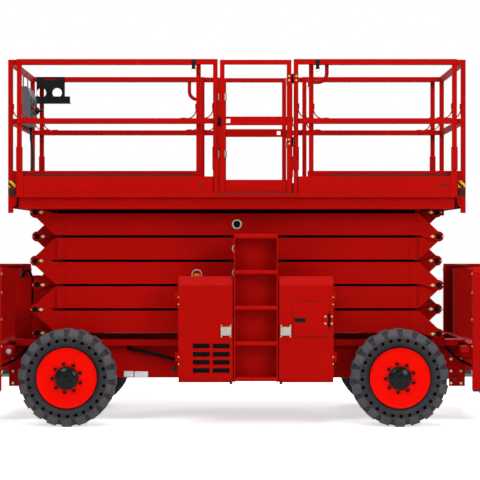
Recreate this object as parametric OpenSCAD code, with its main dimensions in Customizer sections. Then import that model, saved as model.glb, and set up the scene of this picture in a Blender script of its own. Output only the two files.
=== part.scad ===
// Rough-terrain scissor lift with outriggers, sliding decks, side cabinets and ladders.
// Frame: millimetres, +Z up, +X to the rear, origin on the ground under the middle.

/* [Wheels and axles] */
// Tyre diameter over the lugs
tyre_d = 838; // [820:2:856]
// Tyre width
tyre_w = 290; // [276:2:296]
// Rim flange diameter
rim_d = 516; // [500:2:530]
// Rim barrel wall
rim_wall = 12; // [8:1:16]
// Width over the tyres
track_w = 2290; // [2280:2:2320]
// Wheelbase
wheelbase = 2850; // [2800:5:2880]
// How far the axles sit ahead of the middle
axle_ahead = 30; // [10:5:40]
// Distance from the kingpin to the tyre's middle plane
kingpin_in = 170; // [168:1:176]
// Kingpin diameter
kingpin_d = 48; // [40:1:56]
// Height and width of the axle boxes
axle_box = 140; // [120:2:150]
// Spindle diameter
spindle_d = 90; // [80:1:100]
// Steering arm length, kingpin to track rod pin
steer_arm = 180; // [165:1:190]
// Track rod diameter
track_rod_d = 30; // [24:1:36]
// Wheel bolts on each rim
bolt_n = 9; // [6:1:10]
// Lugs on each side of a tyre
lug_n = 19; // [15:1:23]
// Groove between two lugs
lug_gap = 30; // [24:1:36]
// Depth of the tread grooves
lug_depth = 21; // [16:1:26]

/* [Chassis] */
// Frame length over the end plates
frame_l = 4010; // [3980:5:4020]
// Height of the frame's underside
frame_z0 = 381; // [376:1:390]
// Height of the frame's top
frame_z1 = 723; // [715:1:735]
// Width over the side plates
frame_w = 1120; // [1100:2:1128]
// Width over the top flanges
flange_w = 1280; // [1270:2:1284]
// Plate thickness
frame_t = 20; // [14:1:24]

/* [Scissor stack] */
// Stowed distance between the end pins
pin_span = 3544; // [3500:2:3560]
// Stowed height of one stage
stage_h = 214; // [210:1:220]
// Depth of an arm
arm_h = 192; // [184:1:196]
// Width of an arm
arm_w = 110; // [104:1:114]
// Gap between the outer and the inner arms
arm_gap = 30; // [24:1:36]
// Width over the outer arms
stack_w = 1380; // [1370:2:1384]
// End pin diameter
pin_d = 45; // [40:1:50]
// Nose diameter round the end pins
nose_d = 92; // [84:1:98]
// Length of the tapered nose
taper_l = 171; // [160:1:190]
// Fork depth
fork_l = 258; // [230:1:280]
// Fork plate thickness
fork_t = 20; // [16:1:22]
// Roller diameter at the sliding ends
roller_d = 103; // [100:1:108]
// Centre pin diameter
centre_pin_d = 90; // [80:1:96]
// Cross tube diameter
cross_tube_d = 76; // [64:1:80]

/* [Lift cylinders] */
// Barrel diameter
barrel_d = 120; // [110:1:130]
// Rod diameter
rod_d = 70; // [60:1:76]
// Sideways distance between the two cylinders of a pair
ram_spread = 220; // [200:2:240]

/* [Platform] */
// Main deck length
deck_l = 3816; // [3796:2:3824]
// Main deck width
deck_w = 1830; // [1824:2:1850]
// Depth of the beams under the deck edge
under_beam_h = 101; // [96:1:106]
// Depth of the deck's edge strip
deck_edge_h = 33; // [28:1:40]
// Toe board height above the deck
toe_h = 149; // [130:1:170]
// Guard rail height above the deck
rail_h = 1166; // [1140:2:1180]
// Middle rail height above the deck
mid_rail_h = 653; // [620:1:680]
// Guard rail tube size
rail_tube = 45; // [40:1:48]
// Guard rail post size
post_tube = 40; // [36:1:44]
// Clear width between the gate posts
gate_gap = 660; // [640:2:680]
// Middle of the gate along the deck
gate_x = 163; // [150:1:176]

/* [Sliding decks] */
// Length of the front sliding deck
slide_front_l = 1688; // [1660:2:1700]
// Length of the rear sliding deck
slide_rear_l = 1375; // [1350:2:1385]
// Width over the sliding decks
slide_w = 1700; // [1690:2:1704]
// How far the sliding decks stand past the main deck
slide_past = 82; // [76:1:90]
// Height of the sliding floor above the main deck
slide_floor_h = 50; // [44:1:60]
// Toe board height above the main deck
slide_toe_h = 199; // [190:1:210]

/* [Cabinets and ladders] */
// Cabinet width
cabinet_w = 476; // [460:2:480]
// Height of the cabinet doors' lower edge
door_z0 = 381; // [376:1:390]
// Height of the cabinet doors' upper edge
door_z1 = 1288; // [1270:2:1300]
// Distance of the door skins from the middle of the machine
door_y = 1120; // [1112:1:1126]
// Door thickness
door_t = 25; // [20:1:28]
// Cabinet wall thickness
cabinet_wall = 15; // [10:1:18]
// Ladder width
ladder_w = 377; // [370:1:380]
// Height of the ladder's top
ladder_z1 = 1655; // [1630:5:1670]
// Depth of the ladder treads
tread_depth = 150; // [130:2:160]
// Number of ladder treads
tread_n = 5; // [4:1:6]

/* [Outriggers] */
// Length over the outrigger housings
overall_l = 4880; // [4870:2:4900]
// Length of one housing
housing_l = 423; // [410:1:430]
// Width of one housing
housing_w = 280; // [260:2:284]
// Width over the housings
housing_span = 2260; // [2250:2:2270]
// Height of the housings' underside at the inner edge
housing_z0 = 316; // [310:1:330]
// Height of the housings' top
housing_z1 = 1369; // [1350:1:1380]
// Leg section
leg_w = 150; // [140:2:156]
// Foot pad diameter
foot_d = 280; // [240:5:300]

/* [Hidden] */
$fn = 64;
eps = 0.01;
STAGES = 5;

// Clearances
fit = 0.5;
seat = 0.3;
run_gap = 5;

// Colours
RED = [0.78, 0.07, 0.06];
BLACK = [0.06, 0.06, 0.065];
GREY = [0.62, 0.63, 0.64];
STEEL = [0.72, 0.73, 0.75];
RUBBER = [0.05, 0.05, 0.055];
AMBER = [1.0, 0.55, 0.08];

// Wheels and axles
front_x = -wheelbase / 2 - axle_ahead;
rear_x = wheelbase / 2 - axle_ahead;
axle_z = tyre_d / 2;
tyre_y = (track_w - tyre_w) / 2;
kingpin_y = tyre_y - kingpin_in;
rim_r = rim_d / 2;
rim_lip = 18;
rim_lip_w = 8;
rim_lip_slope = 6;
rim_seat_r = rim_r - 43;
rim_half = tyre_w / 2 - 17;
dish_w = 105;
dish_t = 15;
dish_face = dish_w + dish_t;
hub_r = 98.5;
hub_out = 135;
hub_in = -30;
hub_bore_end = 60;
bolt_r = 13;
bolt_circle_r = 124;
bolt_h = 14;
hub_chamfer = 15;
sidewall_rise = 42;
shoulder_h = 67;
shoulder_w = 27;
lug_rib = 30;
bead_gap = 1.2;
knuckle_r = 58;
knuckle_h = 162;
yoke_gap = 5;
yoke_t = 30;
yoke_r = 50;
yoke_web_in = 95;
yoke_web_t = 40;
motor_r = 78;
steer_arm_t = 25;
steer_arm_w = 36;
steer_pin_past = 8;
steer_pin_d = 24;
track_rod_drop = 97;
track_rod_eye_h = 28;
track_rod_eye_t = 9;
rear_axle_short = 40;

// Chassis
frame_x = frame_l / 2;
frame_y = frame_w / 2;
flange_in = 440;
frame_end_l = 125;
frame_end_drop = 75;
flange_lip_h = 54;
flange_lip_t = 12;
flange_lip_short = 57;
eye_in = 70;
eye_drop = 5;
eye_r = 22;
cross_member_x = [-950, -300, 300, 950];
cross_member_w = 80;
cross_member_z = [481, 641];
guard_y = 392;
guard_l = 165;
guard_h = 546;
guard_t = 12;
guard_corner = 90;

// Scissor stack
pin_x = pin_span / 2;
pin_z0 = frame_z1 + roller_d / 2 + fit;
outer_y = stack_w / 2;
inner_y = outer_y - arm_w - arm_gap;
tongue_w = arm_w - 2 * fork_t - 2 * run_gap;
tongue_l = taper_l + 20;
nose_in = 0.93;
pin_head_d = pin_d + 18;
pin_head_t = 6;
pin_lug_w = 120;
centre_ring_t = 12;
centre_hole_depth = 40;
centre_pin_past = 4;
// Half length of the straight box of an arm
arm_box_x = pin_x - taper_l;

function level(i) = pin_z0 + stage_h * i;
function mid_level(k) = (level(k - 1) + level(k)) / 2;
function is_odd(k) = k % 2 == 1;
// Side of the lower pin: outer arms start at the rear on odd stages, inner arms at the front
function lower_side(k, inner) = (is_odd(k) ? 1 : -1) * (inner ? -1 : 1);
function arm_face(inner) = inner ? inner_y : outer_y;

// Lift cylinders, measured from the middle of the arm that carries them
ram_base = [-100, -30];
ram_eye = [1450, -30];
rod_tube = [1350, 50];
ram_base_ring_r = 60;
rod_eye_r = 45;
rod_eye_w = rod_d;
rod_ear_t = 20;
ram_run = [ram_eye[0] - ram_base[0], ram_eye[1] - ram_base[1] + stage_h];
ram_length = norm(ram_run);
ram_angle = atan2(ram_run[1], ram_run[0]);
barrel_l = ram_length - 265;
barrel_bore_d = barrel_d - 24;
barrel_end_t = 40;
ram_ring_w = 80;
ram_ring_weld = 15;
rod_in_l = 950;

// Platform
deck_x = deck_l / 2;
deck_y = deck_w / 2;
track_z = level(STAGES) + roller_d / 2 + fit;
under_z0 = level(STAGES) + 24;
under_z1 = under_z0 + under_beam_h;
deck_z = under_z1 + deck_edge_h;
floor_t = 10;
track_wider = 5;
track_past = 200;
under_beam_w = 50;
under_beam_short = 20;
edge_strip_w = 30;
edge_strip_out = 10;
under_beam_y = deck_y - edge_strip_w - under_beam_w;
socket_w = 56;
gate_socket_w = 30;
socket_out = 8;
deck_member_pitch = 600;
deck_member_in = 30;
deck_member_w = 40;
deck_member_rise = 8;
toe_t = 8;
rail_face_y = deck_y - toe_t - 2;
rail_top = deck_z + rail_h;
mid_rail_top = deck_z + mid_rail_h;
gate_post_x = [gate_x - gate_gap / 2 - post_tube, gate_x + gate_gap / 2];
sleeve_grow = 6;
sleeve_z = [205, 405];
gate_clear = 20;
gate_tube = 40;
gate_z0 = deck_z + 7;
gate_toe_h = 113;
gate_plate_h = 76;
gate_plate_t = 16;
gate_slot = 36;
gate_slot_in = 14;
gate_leaf_w = 14;
gate_frame_x = [gate_x - gate_gap / 2 + gate_clear, gate_x + gate_gap / 2 - gate_clear];
gate_frame_y = -rail_face_y + (rail_tube - gate_tube) / 2;
gate_top = rail_top - 6;
gate_hinge_r = 10;
gate_pin_r = 7;
gate_hinge_h = 60;
gate_ear_t = 12;
gate_hinge_low = 420;
gate_hinge_high = 970;
gate_hinge_z = [deck_z + gate_hinge_low, deck_z + gate_hinge_high];
gate_hinge_x = gate_x + gate_gap / 2 - 11;
gate_hinge_y = rail_face_y - rail_tube - 4;
grab_r = 12;
grab_z = [327, 917];
grab_out = 26;
grab_end = 20;
grab_leg_r = 10;

// Sliding decks
slide_y = slide_w / 2;
slide_end_x = deck_x + slide_past;
slide_floor_z = deck_z + slide_floor_h;
slide_toe_z = deck_z + slide_toe_h;
slide_end_z0 = under_z0 + 10;
slide_end_gap = 7;
slide_plate_t = 8;
slide_post = 40;
slide_post_in = 12;
slide_lug = [40, 44];
slide_lug_t = 50;
cheek_r = 58;
runner_w = 40;
runner_in = 90;
runner_mid = 300;
runner_short = 60;

// Control box, document tray and cable on the front sliding deck
box_y = [-200, 300];
box_d = 80;
box_h = 350;
box_drop = 175;
box_foot = [15, 60];
box_brow = [35, 90];
hook_in = 60;
hook_w = 30;
hook_t = 8;
tray_in = 60;
tray_w = 330;
tray_back_w = 272;
tray_d = 90;
tray_h = 260;
tray_t = 10;
tray_lip_h = 66;
tray_hole_x = [47, 198];
tray_hole_z = 107;
tray_hole_r = 46;
tray_slot_at = [73, 230];
tray_slot = [125, 18];
cable_d = 24;
cable_y = 240;
cable_sides = 10;
// Run of the cable: distance out from the rail and drop below the box
cable_route = [
  [31, 0], [31, -60], [34, -120], [42, -190], [46, -260], [44, -330], [40, -400],
  [40, -470], [42, -530], [42, -588]
];

// Cabinets and ladders
cabinet_gap = 6;
ladder_x0 = gate_x - ladder_w / 2;
ladder_x1 = gate_x + ladder_w / 2;
cabinet_y0 = outer_y + pin_head_t + 9;
cabinet_y1 = door_y - door_t - run_gap;
cabinet_z0 = door_z0 + 60;
cabinet_z1 = door_z1 - 48;
tray_beam_h = 50;
tray_beam_w = 60;
tray_beam_in = 90;
tray_beam_out = 60;
tray_beam_short = 25;
door_foot = [20, 40];
door_brow = [50, 75];
door_top_w = 80;
hinge_pin_r = 6;
hinge_r = 9;
hinge_h = 50;
hinge_ear_t = 10;
hinge_play = 1;
cabinet_cut_w = 40;
cabinet_cut_h = 50;
hinge_out = 13;
hinge_grip = 60;
hinge_leaf_t = 10;
hinge_y = door_y - door_t / 2;
hinge_z = [door_z0 + 190, door_z1 - 190];
door_edge_in = 6;
door_gap = 6;
ladder_t = 10;
ladder_back_y = door_y - tread_depth;
tread_t = 30;
tread_z0 = door_z0 + 26;
tread_z1 = ladder_z1 - 25;
lid_x = [133, 422];
lid_z = [397, 680];
lid_t = 10;
lid_corner = 24;
lid_frame = 12;
lid_hinge_h = 70;
lid_hinge_z0 = 497;
lid_ear_h = 16;
lid_hinge_in = 11;
lid_hinge_out = 8;
lid_hinge_r = 6;
lid_pin_r = 3;
lid_leaf_t = 4;
latch_in = 20;
latch_w = 86;
latch_h = 66;
latch_t = 14;
latch_z = 406;
stowed_room = 30;
engine_gap = 50;
engine_drop = 200;
control_tank_gap = 120;
tank_gap = 40;
tank_drop = 420;
fuel_tank_drop = 180;
pocket_depth = 70;
pocket_wall = 5;
louvre_x = [129, 299];
louvre_z = [82, 152, 221, 292];
louvre_size = [144, 42];
lamp_in = 160;
lamp_back = 110;
lamp_r = 28;
lamp_h = 36;
lamp_dome_r = 27;
lamp_foot_t = 6;
hoop_r = 41;
hoop_bar_r = 5;
hoop_leg_r = 6;
hoop_z = 61;

// Outriggers
overall_x = overall_l / 2;
housing_x0 = overall_x - housing_l;
housing_y1 = housing_span / 2;
housing_y0 = housing_y1 - housing_w;
housing_rise = 85;
housing_chamfer = 40;
housing_corner = 70;
cover_t = 60;
cover_past = 75;
cover_above = 44;
cap_r = 83;
cap_t = 12;
cap_neck_r = 62;
cap_neck_h = 24;
cap_in = 55;
shoe_l = 54;
shoe_z = [583, 674];
shoe_slope = 50;
shoe_weld = 5;
leg_x = housing_x0 + housing_l / 2;
leg_y = (housing_y0 + housing_y1) / 2;
leg_z0 = 330;
leg_roof = 40;
leg_z1 = housing_z1 - cover_above - leg_roof;
leg_pad_h = 60;
leg_room = 6;
foot_z = 280;
foot_t = 30;
foot_neck_d = 100;
beam_h = 140;
beam_z0 = 560;
beam_grip = 108;
mount_plate_t = 15;

// Basic shapes
module box(a, b) { translate(a) cube(b - a); }
module both_sides() { children(); mirror([0, 1, 0]) children(); }
module both_ends() { children(); mirror([1, 0, 0]) children(); }
module bar_y(x, z, y0, y1, r) { translate([x, y1, z]) rotate([90, 0, 0]) cylinder(r = r, h = y1 - y0); }
module bar_z(x, y, z0, z1, r) { translate([x, y, z0]) cylinder(r = r, h = z1 - z0); }
// Outline drawn in X and Z, given its width along Y
module across(y0, y1) { translate([0, y1, 0]) rotate([90, 0, 0]) linear_extrude(y1 - y0) children(); }
// Outline drawn in Y and Z, given its length along X
module along(x0, x1) { translate([x0, 0, 0]) rotate([90, 0, 90]) linear_extrude(x1 - x0) children(); }
// Upper left quarter of a disc
module quarter_disc(r) {
  intersection() {
    circle(r = r);
    translate([-r, 0]) square(r);
  }
}
// Profile of radius and outward distance, turned about a wheel's axle
module turned() { rotate([90, 0, 0]) rotate_extrude() children(); }
// Near side is drawn; the far side is its mirror image
module on_side(far) { mirror([0, far ? 1 : 0, 0]) children(); }
module on_end(front) { mirror([front ? 1 : 0, 0, 0]) children(); }
module at_wheel(front, far) {
  on_side(far) translate([front ? front_x : rear_x, -tyre_y, axle_z]) children();
}

// Wheels
module tyre(front, far) {
  half = tyre_w / 2;
  bead = rim_half - rim_lip - seat;
  tread_r = tyre_d / 2;
  wall_r = rim_r + sidewall_rise;
  shoulder_r = tread_r - shoulder_h;
  color(RUBBER) at_wheel(front, far) difference() {
    turned($fn = 2 * lug_n) polygon([
      [rim_seat_r + bead_gap, -bead], [rim_r + bead_gap, -bead], [wall_r, -half], [shoulder_r, -half],
      [tread_r, -half + shoulder_w], [tread_r, half - shoulder_w], [shoulder_r, half],
      [wall_r, half], [rim_r + bead_gap, bead], [rim_seat_r + bead_gap, bead]
    ]);
    for (side = [0, 1], i = [0 : lug_n - 1])
      rotate([0, (i + side / 2) * 360 / lug_n, 0]) mirror([0, side, 0]) lug_groove(tread_r, shoulder_r, half);
  }
}

// Groove between two lugs, from the middle of the tread out over the shoulder
module lug_groove(tread_r, shoulder_r, half) {
  floor_r = tread_r - lug_depth;
  translate([-lug_gap / 2, 0, 0]) along(0, lug_gap) polygon([
    [lug_rib / 2, floor_r], [half + 1, shoulder_r + lug_depth], [half + 1, tread_r + 1],
    [lug_rib / 2, tread_r + 1]
  ]);
}

module rim(front, far) {
  bore_r = spindle_d / 2 + fit;
  barrel_in = rim_seat_r - rim_wall;
  lip_in = rim_half - rim_lip;
  lip_r = rim_r - rim_lip_w;
  color(RED) at_wheel(front, far) {
    turned() polygon([
      [barrel_in, -rim_half], [rim_r, -rim_half], [rim_r, -lip_in], [rim_seat_r, -lip_in],
      [rim_seat_r, lip_in], [rim_r, lip_in], [rim_r, rim_half], [lip_r, rim_half],
      [lip_r - rim_lip_slope, dish_face], [hub_r - eps, dish_face], [hub_r - eps, dish_w], [barrel_in, dish_w]
    ]);
    turned() polygon([
      [0, hub_bore_end], [0, hub_out], [hub_r - hub_chamfer, hub_out], [hub_r, hub_out - hub_chamfer],
      [hub_r, hub_in], [bore_r, hub_in], [bore_r, hub_bore_end]
    ]);
    for (i = [0 : bolt_n - 1])
      rotate([0, i * 360 / bolt_n, 0]) translate([bolt_circle_r, -dish_face + eps, 0])
        rotate([90, 0, 0]) cylinder(r = bolt_r, h = bolt_h, $fn = 6);
  }
}

// Steering knuckle: upright on the kingpin, wheel motor, spindle and steering arm
module knuckle(far) {
  yoke_end = knuckle_h / 2 + yoke_gap + yoke_t;
  arm_z = -knuckle_h / 2;
  pin_end = -track_rod_drop - track_rod_eye_h / 2 - steer_pin_past;
  color(BLACK) at_wheel(true, far) {
    bar_z(0, kingpin_in, -knuckle_h / 2, knuckle_h / 2, knuckle_r);
    bar_y(0, 0, -hub_in + yoke_gap, kingpin_in, motor_r);
    bar_y(0, 0, -hub_bore_end + yoke_gap, kingpin_in - knuckle_r, spindle_d / 2);
    bar_z(0, kingpin_in, -yoke_end - yoke_gap, yoke_end + yoke_gap, kingpin_d / 2);
    box([0, kingpin_in - steer_arm_w / 2, arm_z],
        [steer_arm, kingpin_in + steer_arm_w / 2, arm_z + steer_arm_t]);
    bar_z(steer_arm, kingpin_in, arm_z, arm_z + steer_arm_t, steer_arm_w / 2 + eps);
    bar_z(steer_arm, kingpin_in, pin_end, arm_z + eps, steer_pin_d / 2);
  }
}

module track_rod() {
  x = front_x + steer_arm;
  z = axle_z - track_rod_drop;
  rod_end_r = track_rod_d / 2 + track_rod_eye_t;
  color(STEEL) difference() {
    union() {
      bar_y(x, z, -kingpin_y, kingpin_y, track_rod_d / 2);
      both_sides() bar_z(x, -kingpin_y, z - track_rod_eye_h / 2, z + track_rod_eye_h / 2, rod_end_r);
    }
    both_sides() bar_z(x, -kingpin_y, z - track_rod_eye_h, z + track_rod_eye_h, steer_pin_d / 2 + fit);
  }
}

// Front axle: a box with a yoke at each end
module front_axle() {
  web_y = kingpin_y - yoke_web_in;
  inner = knuckle_h / 2 + yoke_gap;
  outer = inner + yoke_t;
  h = axle_box / 2;
  color(BLACK) translate([front_x, 0, axle_z]) difference() {
    union() {
      box([-h, -web_y, -h], [h, web_y, h]);
      both_sides() {
        box([-yoke_r, -web_y, -outer], [yoke_r, -web_y + yoke_web_t, outer]);
        for (z = [-outer, inner]) {
          box([-yoke_r, -kingpin_y, z], [yoke_r, -web_y + eps, z + yoke_t]);
          bar_z(0, -kingpin_y, z, z + yoke_t, yoke_r + eps);
        }
      }
    }
    both_sides() bar_z(0, -kingpin_y, -outer - 1, outer + 1, kingpin_d / 2 + fit);
  }
}

// Rear axle: a box with a wheel motor and spindle at each end
module rear_axle() {
  h = axle_box / 2;
  box_y = kingpin_y - rear_axle_short;
  color(BLACK) translate([rear_x, 0, axle_z]) {
    box([-h, -box_y, -h], [h, box_y, h]);
    both_sides() {
      bar_y(0, 0, -tyre_y - hub_in + yoke_gap, -box_y + eps, motor_r);
      bar_y(0, 0, -tyre_y - hub_bore_end + yoke_gap, -tyre_y - hub_in + yoke_gap + eps, spindle_d / 2);
    }
  }
}

// Chassis
module axle_slot(x) {
  h = axle_box / 2 + seat;
  box([x - h, -frame_w, 0], [x + h, frame_w, axle_z + h]);
}

module chassis_frame() {
  lug_y = outer_y - arm_w / 2;
  lug_w = pin_lug_w;
  color(RED) difference() {
    union() {
      both_sides() {
        box([-frame_x, -frame_y, frame_z0], [frame_x, -frame_y + frame_t, frame_z1]);
        box([-frame_x, -flange_w / 2, frame_z1 - frame_t], [frame_x, -flange_in, frame_z1]);
        box([-frame_x + flange_lip_short, -flange_w / 2, frame_z1 - flange_lip_h],
            [frame_x - flange_lip_short, -flange_w / 2 + flange_lip_t, frame_z1 - eps]);
        box([-frame_x, -frame_y, frame_z0], [frame_x, -flange_in, frame_z0 + frame_t]);
        both_ends()
          box([frame_x - frame_end_l, -frame_y, frame_z0 - frame_end_drop],
              [frame_x, -frame_y + frame_t, frame_z0 + eps]);
        box([pin_x - lug_w / 2, -lug_y - tongue_w / 2, frame_z1 - frame_t],
            [pin_x + lug_w / 2, -flange_in, frame_z1]);
        across(-lug_y - tongue_w / 2, -lug_y + tongue_w / 2) {
          translate([pin_x, pin_z0]) circle(d = nose_d);
          polygon([
            [pin_x - lug_w / 2, frame_z1 - eps], [pin_x + lug_w / 2, frame_z1 - eps],
            [pin_x + nose_d / 2 * nose_in, pin_z0], [pin_x - nose_d / 2 * nose_in, pin_z0]
          ]);
        }
      }
      both_ends()
        box([frame_x - frame_t, -frame_y, frame_z0 - frame_end_drop], [frame_x, frame_y, frame_z1]);
      for (x = cross_member_x)
        box([x - cross_member_w / 2, -frame_y + eps, cross_member_z[0]],
            [x + cross_member_w / 2, frame_y - eps, cross_member_z[1]]);
    }
    axle_slot(front_x);
    axle_slot(rear_x);
    both_sides() bar_y(pin_x, pin_z0, -outer_y, -outer_y + arm_w, pin_d / 2 + fit);
    both_sides() both_ends()
      bar_y(frame_x - eye_in, frame_z0 - eye_drop, -frame_y - 1, -frame_y + frame_t + 1, eye_r);
  }
}

// Outward beams that carry the cabinets and the ladders
module cabinet_trays() {
  first = tray_beam_in;
  last = cabinet_w - tray_beam_out;
  color(RED) both_sides() {
    for (x = [ladder_x0 - last, ladder_x0 - first, ladder_x1 + first, ladder_x1 + last])
      tray_beam(x, cabinet_y1 - tray_beam_short);
    tray_beam(gate_x, ladder_back_y - ladder_t);
  }
}

module tray_beam(x, y) {
  box([x - tray_beam_w / 2, -y, cabinet_z0 - tray_beam_h], [x + tray_beam_w / 2, -frame_y, cabinet_z0]);
}

// Upright plates at the front that guard the hoses, on a shelf behind the end plate
module hose_guard() {
  x0 = -frame_x + frame_t;
  x1 = -frame_x + guard_l;
  z1 = frame_z1 + guard_h;
  color(RED) {
    box([x0, -guard_y, frame_z1 - frame_t], [x1, guard_y, frame_z1]);
    both_sides() across(-guard_y, -guard_y + guard_t) {
      translate([x0 + guard_corner, z1 - guard_corner]) quarter_disc(guard_corner);
      translate([x0, frame_z1 - eps]) square([x1 - x0, guard_h - guard_corner + eps]);
      translate([x0 + guard_corner, frame_z1]) square([x1 - x0 - guard_corner, guard_h]);
    }
  }
}

// Outriggers
module outrigger_frame(front) {
  hole = leg_w / 2 + leg_room;
  collar = leg_w / 2 + fit;
  color(RED) on_end(front) {
    box([frame_x, -frame_y, frame_z0 - frame_end_drop], [frame_x + mount_plate_t, frame_y, frame_z1]);
    box([frame_x + mount_plate_t - eps, -housing_y0 - eps, beam_z0],
        [housing_x0 + beam_grip, housing_y0 + eps, beam_z0 + beam_h]);
    both_sides() {
      housing(hole, collar);
      along(frame_x - shoe_l, frame_x + mount_plate_t + shoe_weld) polygon([
        [-housing_y0 - eps, shoe_z[0]], [-frame_y - seat, shoe_z[0]], [-frame_y - seat, shoe_z[1]],
        [-housing_y0 + shoe_slope, shoe_z[1]], [-housing_y0 - eps, shoe_z[1] - shoe_slope]
      ]);
      translate([leg_x - cap_in, -leg_y, housing_z1 - cover_above - eps]) {
        cylinder(r = cap_neck_r, h = cap_neck_h + eps);
        translate([0, 0, cap_neck_h - eps]) cylinder(r = cap_r, h = cap_t);
      }
    }
  }
}

// Leg housing: a box round the leg behind a larger cover plate, cut off at a slant below
module housing(hole, collar) {
  box_z1 = housing_z1 - cover_above;
  difference() {
    union() {
      along(housing_x0, overall_x) polygon([
        [-housing_y1, housing_z0], [-housing_y1 + cover_t, housing_z0], [-housing_y1 + cover_t, housing_z1],
        [-housing_y1 + housing_chamfer, housing_z1], [-housing_y1, housing_z1 - housing_chamfer]
      ]);
      box([housing_x0 + cover_past, -housing_y1 + cover_t - eps, housing_z0],
          [overall_x, -housing_y0, box_z1]);
    }
    across(-housing_y1 - 1, -housing_y0 + 1) polygon([
      [housing_x0 - 1, housing_z0 - 1], [overall_x + 1, housing_z0 - 1],
      [overall_x + 1, housing_z0 + housing_rise], [housing_x0 + housing_l / 4, housing_z0]
    ]);
    across(-housing_y1 - 1, -housing_y0 + 1) polygon([
      [overall_x + 1, housing_z1 + 1], [overall_x - housing_corner, housing_z1 + 1],
      [overall_x + 1, housing_z1 - housing_corner]
    ]);
    box([leg_x - hole, -leg_y - hole, housing_z0 + housing_rise + leg_pad_h],
        [leg_x + hole, -leg_y + hole, leg_z1 + run_gap]);
    box([leg_x - collar, -leg_y - collar, housing_z0 - 1],
        [leg_x + collar, -leg_y + collar, housing_z1 / 2]);
  }
}

module outrigger_leg(front, far) {
  pad = leg_w / 2 + leg_room - fit;
  color(GREY) on_side(far) on_end(front) translate([leg_x, -leg_y, 0]) {
    box([-leg_w / 2, -leg_w / 2, leg_z0], [leg_w / 2, leg_w / 2, leg_z1]);
    box([-pad, -pad, leg_z1 - leg_pad_h], [pad, pad, leg_z1]);
    bar_z(0, 0, foot_z, foot_z + foot_t, foot_d / 2);
    bar_z(0, 0, foot_z + foot_t - eps, leg_z0 + eps, foot_neck_d / 2);
  }
}

// Scissor arms: outline in X and Z of one arm between its two end pins
module arm_outline(k, inner) {
  s = lower_side(k, inner);
  z_mid = mid_level(k);
  r_in = nose_d / 2 * nose_in;
  translate([-arm_box_x, z_mid - arm_h / 2]) square([2 * arm_box_x, arm_h]);
  // End pins: side and height
  for (end = [[s, level(k - 1)], [-s, level(k)]]) {
    translate([end[0] * pin_x, end[1]]) circle(d = nose_d);
    polygon([
      [end[0] * (arm_box_x - eps), z_mid - arm_h / 2], [end[0] * pin_x, end[1] - r_in],
      [end[0] * pin_x, end[1] + r_in], [end[0] * (arm_box_x - eps), z_mid + arm_h / 2]
    ]);
  }
}

// One arm on the near side; odd arms are forks that own the pins, even arms are tongues
module arm_side(k, inner) {
  y0 = -arm_face(inner);
  y1 = y0 + arm_w;
  s = lower_side(k, inner);
  ends = [[s, level(k - 1)], [-s, level(k)]];
  z_mid = mid_level(k);
  difference() {
    across(y0, y1) arm_outline(k, inner);
    for (end = ends) {
      if (is_odd(k)) {
        x = [end[0] * (pin_x - fork_l), end[0] * (pin_x + nose_d)];
        box([min(x), y0 + fork_t, z_mid - arm_h], [max(x), y1 - fork_t, z_mid + arm_h]);
      } else {
        x = [end[0] * (pin_x - tongue_l), end[0] * (pin_x + nose_d)];
        side = (arm_w - tongue_w) / 2;
        box([min(x), y0 - 1, z_mid - arm_h], [max(x), y0 + side, z_mid + arm_h]);
        box([min(x), y1 - side, z_mid - arm_h], [max(x), y1 + 1, z_mid + arm_h]);
        bar_y(end[0] * pin_x, end[1], y0 - 1, y1 + 1, pin_d / 2 + fit);
      }
    }
    if (inner) bar_y(0, z_mid, y0 - 1, y1 + 1, centre_pin_d / 2 + fit);
    else bar_y(0, z_mid, y0 - 1, y0 + centre_hole_depth, centre_pin_d / 2 - centre_ring_t);
  }
  if (is_odd(k))
    for (end = ends) {
      bar_y(end[0] * pin_x, end[1], y0 + fork_t - eps, y1 - fork_t + eps, pin_d / 2);
      bar_y(end[0] * pin_x, end[1], y0 - pin_head_t, y0 + eps, pin_head_d / 2);
    }
  if (!inner)
    difference() {
      bar_y(0, z_mid, y0 - pin_head_t, -inner_y + arm_w + centre_pin_past, centre_pin_d / 2);
      bar_y(0, z_mid, y0 - pin_head_t - 1, y0 + centre_hole_depth, centre_pin_d / 2 - centre_ring_t);
    }
}

module arm_pair(k, inner) {
  in_y = arm_face(inner) - arm_w;
  s = lower_side(k, inner);
  both_sides() arm_side(k, inner);
  if (is_odd(k)) {
    for (end = [[s, level(k - 1)], [-s, level(k)]])
      bar_y(end[0] * pin_x, end[1], -in_y - eps, in_y + eps, cross_tube_d / 2);
  }
}

// Roller on the pin of a sliding end
module rollers(inner, side, z) {
  mid = arm_face(inner) - arm_w / 2;
  both_sides() bar_y(side * pin_x, z, -mid - tongue_w / 2, -mid + tongue_w / 2, roller_d / 2);
}

module outer_arm(k) {
  color(RED) {
    arm_pair(k, false);
    if (k == STAGES) rollers(false, -1, level(STAGES));
  }
}

module inner_arm(k) {
  in_y = inner_y - arm_w;
  z = mid_level(k);
  color(RED) {
    arm_pair(k, true);
    if (k == 1) rollers(true, -1, level(0));
    if (k == 1 || k == 3) bar_y(ram_base[0], z + ram_base[1], -in_y - eps, in_y + eps, cross_tube_d / 2);
    if (k == 2 || k == 4) rod_bracket(z, in_y);
  }
}

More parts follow.
